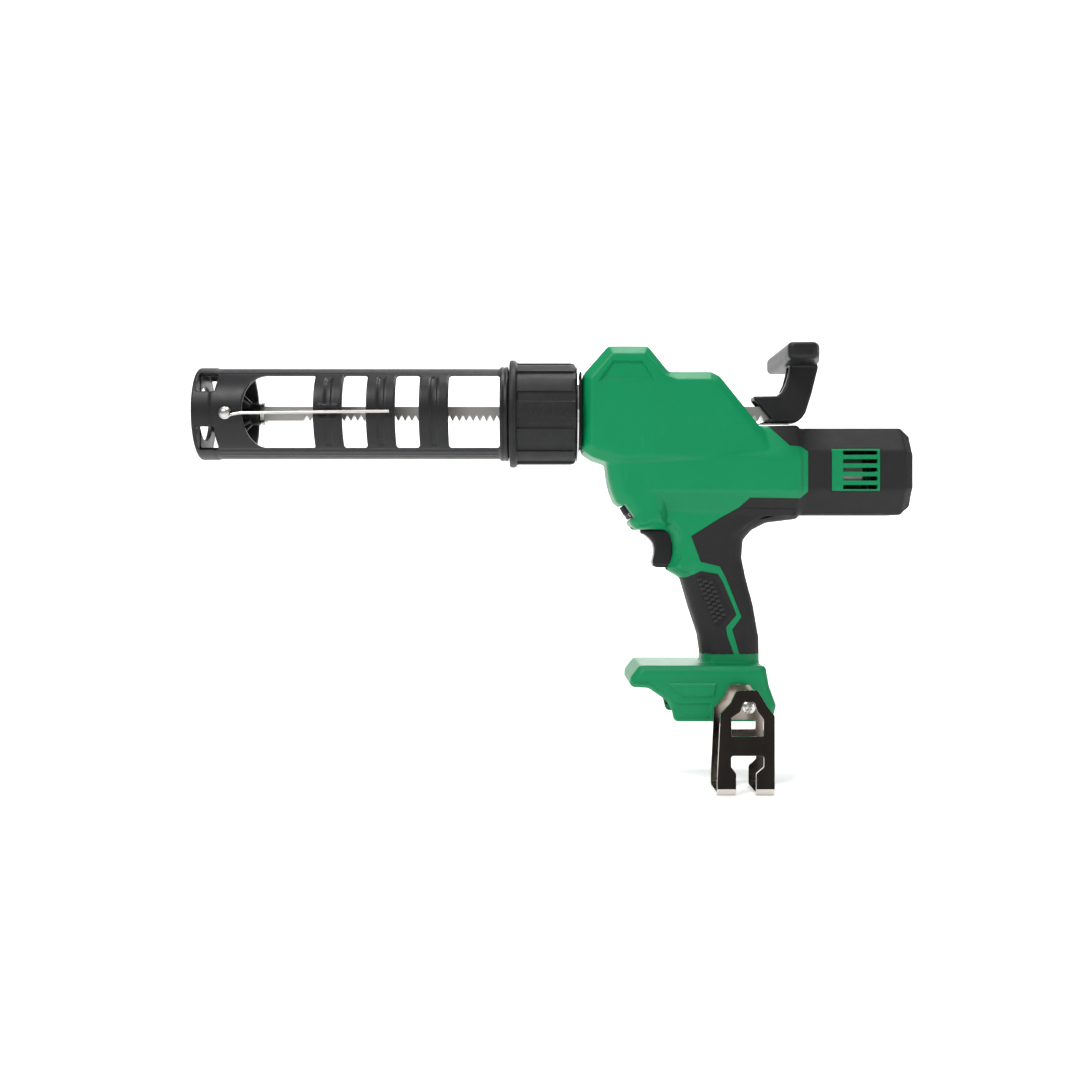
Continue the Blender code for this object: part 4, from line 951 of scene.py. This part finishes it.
NUMERALS = 6
printed = bmesh.new()
for number in range(1, NUMERALS + 1):
    text = bpy.data.curves.new("numeral", "FONT")
    text.body = str(number)
    text.size = 3.4
    text.offset = 0.06
    text.align_x, text.align_y = "CENTER", "CENTER"
    first = len(printed.verts)
    printed.from_mesh(mesh_of("numeral", text))
    printed.verts.ensure_lookup_table()
    for vertex in printed.verts[first:]:
        turn = 2 * math.pi * (number + 0.25) / NUMERALS + vertex.co.x / DIAL_R
        vertex.co = ((DIAL_R - 0.19) * math.cos(turn), (DIAL_R - 0.19) * math.sin(turn),
                     DIAL_HALF - 2.2 + vertex.co.y)
shape = bmesh.ops.extrude_face_region(printed, geom=printed.faces[:])
for vertex in shape["geom"]:
    if isinstance(vertex, bmesh.types.BMVert):
        vertex.co.xy *= (DIAL_R - 0.32) / (DIAL_R - 0.19)
bmesh.ops.recalc_face_normals(printed, faces=printed.faces)
printed.transform(Matrix.Translation(DIAL_CENTRE) @ DIAL_LEAN)
white_ink = moulded("white_ink", (0.62, 0.62, 0.60), (0.74, 0.74, 0.72), 3000, 0.5, 0.8)
dress(mesh_piece("dial_numerals", printed), white_ink, "dial")


# ---------------------------------------------------------------- nose and front plate
# The collar turns on a nylon spigot, against a bright steel washer. A black plate behind them closes
# the front of the housing, with a hole in its middle for the rod.

finish_node("nose_spigot", black_nylon, 0.3)
finish_node("front_plate", black_nylon, 0.5)
bright_steel = plated("bright_steel", (0.66, 0.65, 0.64), 0.24)
finish_node("collar_ring", bright_steel, 0.15)


# ---------------------------------------------------------------- belt hook
# A 2 mm steel plate is punched out, bent twice into a deep U and plated with dark bright nickel. Its
# punched edges, the inner face of the front plate and the underside of the bend carry a painted
# highlight, a bright nickel colour. One cross-head screw holds it on the side of the foot.

HOOK_NEAR, HOOK_FAR, HOOK_PLATE = -67.0, -34.3, 2.0
HOOK_BASE, HOOK_KNEE = -39.4, -30.0
HOOK_OUTLINE = [(6.4, 23.4), (2.8, 15.8), (-3.3, 9.4), (-5.2, HOOK_KNEE), (6.0, HOOK_KNEE),
                (6.0, -26.0), (3.0, -22.0), (3.0, -15.5), (22.5, -15.5), (22.5, -22.0),
                (17.9, -26.0), (17.9, HOOK_KNEE), (28.8, HOOK_KNEE), (28.8, 8.1), (24.5, 13.5),
                (18.6, 23.4)]
HOOK_WINDOW = [(10.1, 16.2), (16.8, 16.2), (18.6, 10.6), (22.2, 6.3), (22.2, -4.1), (3.2, -4.1),
               (3.2, 7.2), (8.4, 10.6)]
HOOK_BACK_WINDOW = oblong(3.2, 2.0, 22.2, -4.1)
HOOK_LEGS = ((-5.2, 6.0), (17.9, 28.8))
HOOK_BEND = 4.2

mirror = Finish("dark_nickel", {"Metallic": 1.0})
smears = mirror.noise(90, 3, (1, 1, 0.3))
specks = mirror.ramp(mirror.noise(900, 2), (0.7, 0.0), (0.78, 1.0))
mirror.feed("Base Color", mirror.blend(smears, (0.010, 0.009, 0.008), (0.020, 0.017, 0.015)))
mirror.feed("Roughness", smears * 0.08 + specks * 0.2 + 0.07)
mirror.bump(smears + specks * -0.3, 0.01, 0.25)
dark_nickel = mirror.material
# A bright nickel colour, a painted highlight laid on the hook's edges, the inner face of its front plate
# and the underside of its bend.
highlight_nickel = plated("highlight_nickel", (0.70, 0.66, 0.61), 0.22)
# The camera side of the back plate: pale and near-black clouds in its colour, a painted reflection on the
# dark nickel.
reflection_finish = Finish("reflection_nickel", {"Metallic": 1.0})
reflection_patches = reflection_finish.ramp(reflection_finish.noise(38, 1, (1, 1, 0.5)), (0.38, 0.0), (0.56, 1.0))
reflection_finish.feed("Base Color", reflection_finish.blend(reflection_patches, (0.035, 0.031, 0.028), (0.40, 0.35, 0.305)))
reflection_finish.feed("Roughness", reflection_finish.noise(120, 3) * 0.12 + 0.1)
reflection_finish.bump(reflection_finish.noise(500, 2), 0.01, 0.2)
reflection_nickel = reflection_finish.material


def hook_plate(name, window, low):
    plate = slab(name, soften(HOOK_OUTLINE, 1.6), low, low + HOOK_PLATE)
    cut(plate, slab("window", soften(window, 1.2), low - 1, low + HOOK_PLATE + 1))
    return plate


hook = hook_plate("belt_hook_plate", HOOK_WINDOW, HOOK_NEAR)
back_plate = hook_plate("back_plate", HOOK_BACK_WINDOW, HOOK_FAR - HOOK_PLATE)
outside, inner_side = [], []
for middle, start, end in ((HOOK_NEAR + HOOK_BEND, 180, 270), (HOOK_FAR - HOOK_BEND, 270, 360)):
    for degrees in range(start, end + 1, 15):
        turn = math.radians(degrees)
        for edge_line, reach in ((outside, HOOK_BEND), (inner_side, HOOK_BEND - HOOK_PLATE)):
            edge_line.append((middle + reach * math.cos(turn),
                              HOOK_BASE + HOOK_BEND + reach * math.sin(turn)))
u_shape = [(HOOK_NEAR, HOOK_KNEE + 0.5), *outside, (HOOK_FAR, HOOK_KNEE + 0.5),
           (HOOK_FAR - HOOK_PLATE, HOOK_KNEE + 0.5), *reversed(inner_side),
           (HOOK_NEAR + HOOK_PLATE, HOOK_KNEE + 0.5)]
legs = [slab("leg", u_shape, low, high, "X") for low, high in HOOK_LEGS]
join(hook, back_plate, *legs)
cut(hook, rod("hook_hole", 1.9, -40, -30, (HOOK_SCREW[0], 0, HOOK_SCREW[1])))
dress(hook, dark_nickel, node="belt_hook", smooth=30)
hook.data.materials.append(highlight_nickel)
hook.data.materials.append(reflection_nickel)
PAINTED_HIGHLIGHT, PAINTED_REFLECTION = 1, 2    # the places of those two among the hook's materials
# Faces are coloured by the way they point: the edges, the inner face of the front plate and the underside
# of the bend take the painted highlight, and the camera side of the back plate takes the painted
# reflection.
for face in hook.data.polygons:
    spot = face.center / MM
    if abs(face.normal.y) < 0.3 and abs(face.normal.z) < 0.95 or face.normal.y > 0.9 and spot.y < -60:
        face.material_index = PAINTED_HIGHLIGHT
    elif face.normal.y < -0.9 and spot.y > -40:
        face.material_index = PAINTED_REFLECTION
    if spot.z < HOOK_BASE + HOOK_BEND and face.normal.y < 0.1 and face.normal.z < -0.1:
        face.material_index = PAINTED_HIGHLIGHT
ease_edges(hook, 0.3).material = PAINTED_HIGHLIGHT


# ---------------------------------------------------------------- screws
# Zinc-plated steel screws with pan heads and cross recesses. Eight hold the halves of the housing
# together from the right, in deep round pits, and a larger one holds the belt hook.

def cross_screw(name, head_r, head_low, head_high, shank_r, tip, at, outward):
    """A screw along Y: a domed head from head_low to head_high on the outward side, and its shank."""
    rise = head_high - head_low
    profile = [(head_high * outward, 0.0), ((head_high - rise * 0.06) * outward, head_r * 0.45),
               ((head_high - rise * 0.22) * outward, head_r * 0.8),
               ((head_high - rise * 0.5) * outward, head_r), ((head_low + rise * 0.1) * outward, head_r),
               (head_low * outward, head_r * 0.95), (head_low * outward, shank_r),
               (tip * outward, shank_r), (tip * outward, 0.0)]
    made = turned(name, profile, (at[0], 0, at[1]), "Y", 40)
    depth = min(1.6, rise * 0.75)
    for lean in (45, 135):
        arm = block("arm", (-head_r * 0.52, -depth, -head_r * 0.11), (head_r * 0.52, 1.0, head_r * 0.11))
        arm.data.transform(Matrix.Rotation(math.radians(lean), 4, "Y"))
        arm.data.transform(Matrix.Diagonal((1, outward, 1, 1)))
        arm.data.transform(Matrix.Translation(Vector((at[0], head_high * outward, at[1])) * MM))
        if outward < 0:
            arm.data.flip_normals()
        cut(made, arm)
    return made


for number, (x, z) in enumerate(SCREWS, 1):
    reach = screw_reach(z)
    screw = cross_screw(f"case_screw_{number}", 2.9, reach - 5.7, reach - 3.2, 1.4, 3 - reach, (x, z), 1)
    dress(screw, zinc, node=f"housing_screw_{number}")
hook_fixing = cross_screw("hook_fixing_screw", 4.0, 36.7, 39.2, 1.6, 29.4, HOOK_SCREW, -1)
dress(hook_fixing, bright_steel, node="hook_screw")


# ---------------------------------------------------------------- battery terminals
# A nylon block in the foot carries two brass blades that the battery slides onto. The blades are
# stamped from strip and wiped bright by the battery's contacts.

finish_node("terminal_block", black_nylon, 0.3)
brass = plated("contact_brass", (0.70, 0.44, 0.20), 0.3, (0.05, 1, 1), 700, 0.5)
for side in ("left", "right"):
    finish_node(f"battery_blade_{side}", brass, 0.1)


# ---------------------------------------------------------------- gears, motor and electrics
# Inside, the motor drives the rack through planets, bevels and spurs of oiled, hardened steel, in a
# die-cast case. The switch is a nylon box, and the control board is green laminate.

def oiled(name, colour, roughness):
    """Machined steel under a film of oil, with turned lines and darker smears."""
    finish = Finish(name, {"Metallic": 1.0})
    lines = finish.noise(1300, 2, (0.2, 1, 1))
    film = finish.noise(120, 4)
    finish.feed("Base Color", finish.blend(film, colour, tuple(c * 0.55 for c in colour)))
    finish.feed("Roughness", film * 0.25 + lines * 0.1 + (roughness - 0.15))
    finish.feed("Coat Weight", film * 0.4)
    finish.bump(lines, 0.02, 0.4)
    return finish.material


gear_steel = oiled("gear_steel", (0.42, 0.41, 0.40), 0.3)
bearing_steel = oiled("bearing_steel", (0.60, 0.60, 0.61), 0.2)
for gear in ("output_gear", "cross_gear", "rack_pinion", "bevel_gear", "bevel_pinion", "planet_carrier",
             "planet_gear_1", "planet_gear_2", "planet_gear_3", "ring_gear", "motor_shaft",
             "output_shaft", "cross_shaft"):
    finish_node(gear, gear_steel)
for place in ("output_bearing", "cross_bearing"):
    for side in ("left", "right"):
        finish_node(f"{place}_{side}", bearing_steel, 0.4)

casting = Finish("die_cast", {"Metallic": 1.0})
skin_grain = casting.noise(900, 4)
flow_marks = casting.noise(70, 3)
casting.feed("Base Color", casting.blend(flow_marks, (0.50, 0.50, 0.51), (0.38, 0.38, 0.39)))
casting.feed("Roughness", skin_grain * 0.2 + flow_marks * 0.12 + 0.34)
casting.bump(skin_grain, 0.08, 0.6)
finish_node("gear_case", casting.material, 0.4)
finish_node("motor_can", plated("can_zinc", (0.52, 0.52, 0.50), 0.34, (1, 0.1, 0.1), 500), 0.4)

stack = Finish("laminations", {"Metallic": 1.0})
sheets = stack.node("ShaderNodeTexWave", {"bands_direction": "X"},
                    {"Scale": 620.0, "Distortion": 0.4}, 1)
stack.feed("Base Color", stack.blend(sheets, (0.12, 0.115, 0.11), (0.34, 0.33, 0.32)))
stack.feed("Roughness", sheets * 0.2 + 0.35)
stack.bump(sheets, 0.06, 0.8)
finish_node("rotor_core", stack.material)
for node in ("motor_end_cap", "cooling_fan", "trigger_switch"):
    finish_node(node, black_nylon, 0.2)

board = Finish("board_laminate", {"IOR": 1.5, "Coat Weight": 0.4})
weave = board.noise(800, 2, (1, 8, 1))
tracks = board.ramp(board.noise(260, 1, (0.3, 1, 1)), (0.5, 0.0), (0.54, 1.0))
board.feed("Base Color", board.blend(tracks, (0.006, 0.075, 0.022), (0.012, 0.14, 0.045)))
board.feed("Roughness", weave * 0.15 + 0.3)
board.bump(tracks + weave * 0.3, 0.04, 0.6)
finish_node("control_board", board.material, 0.1)
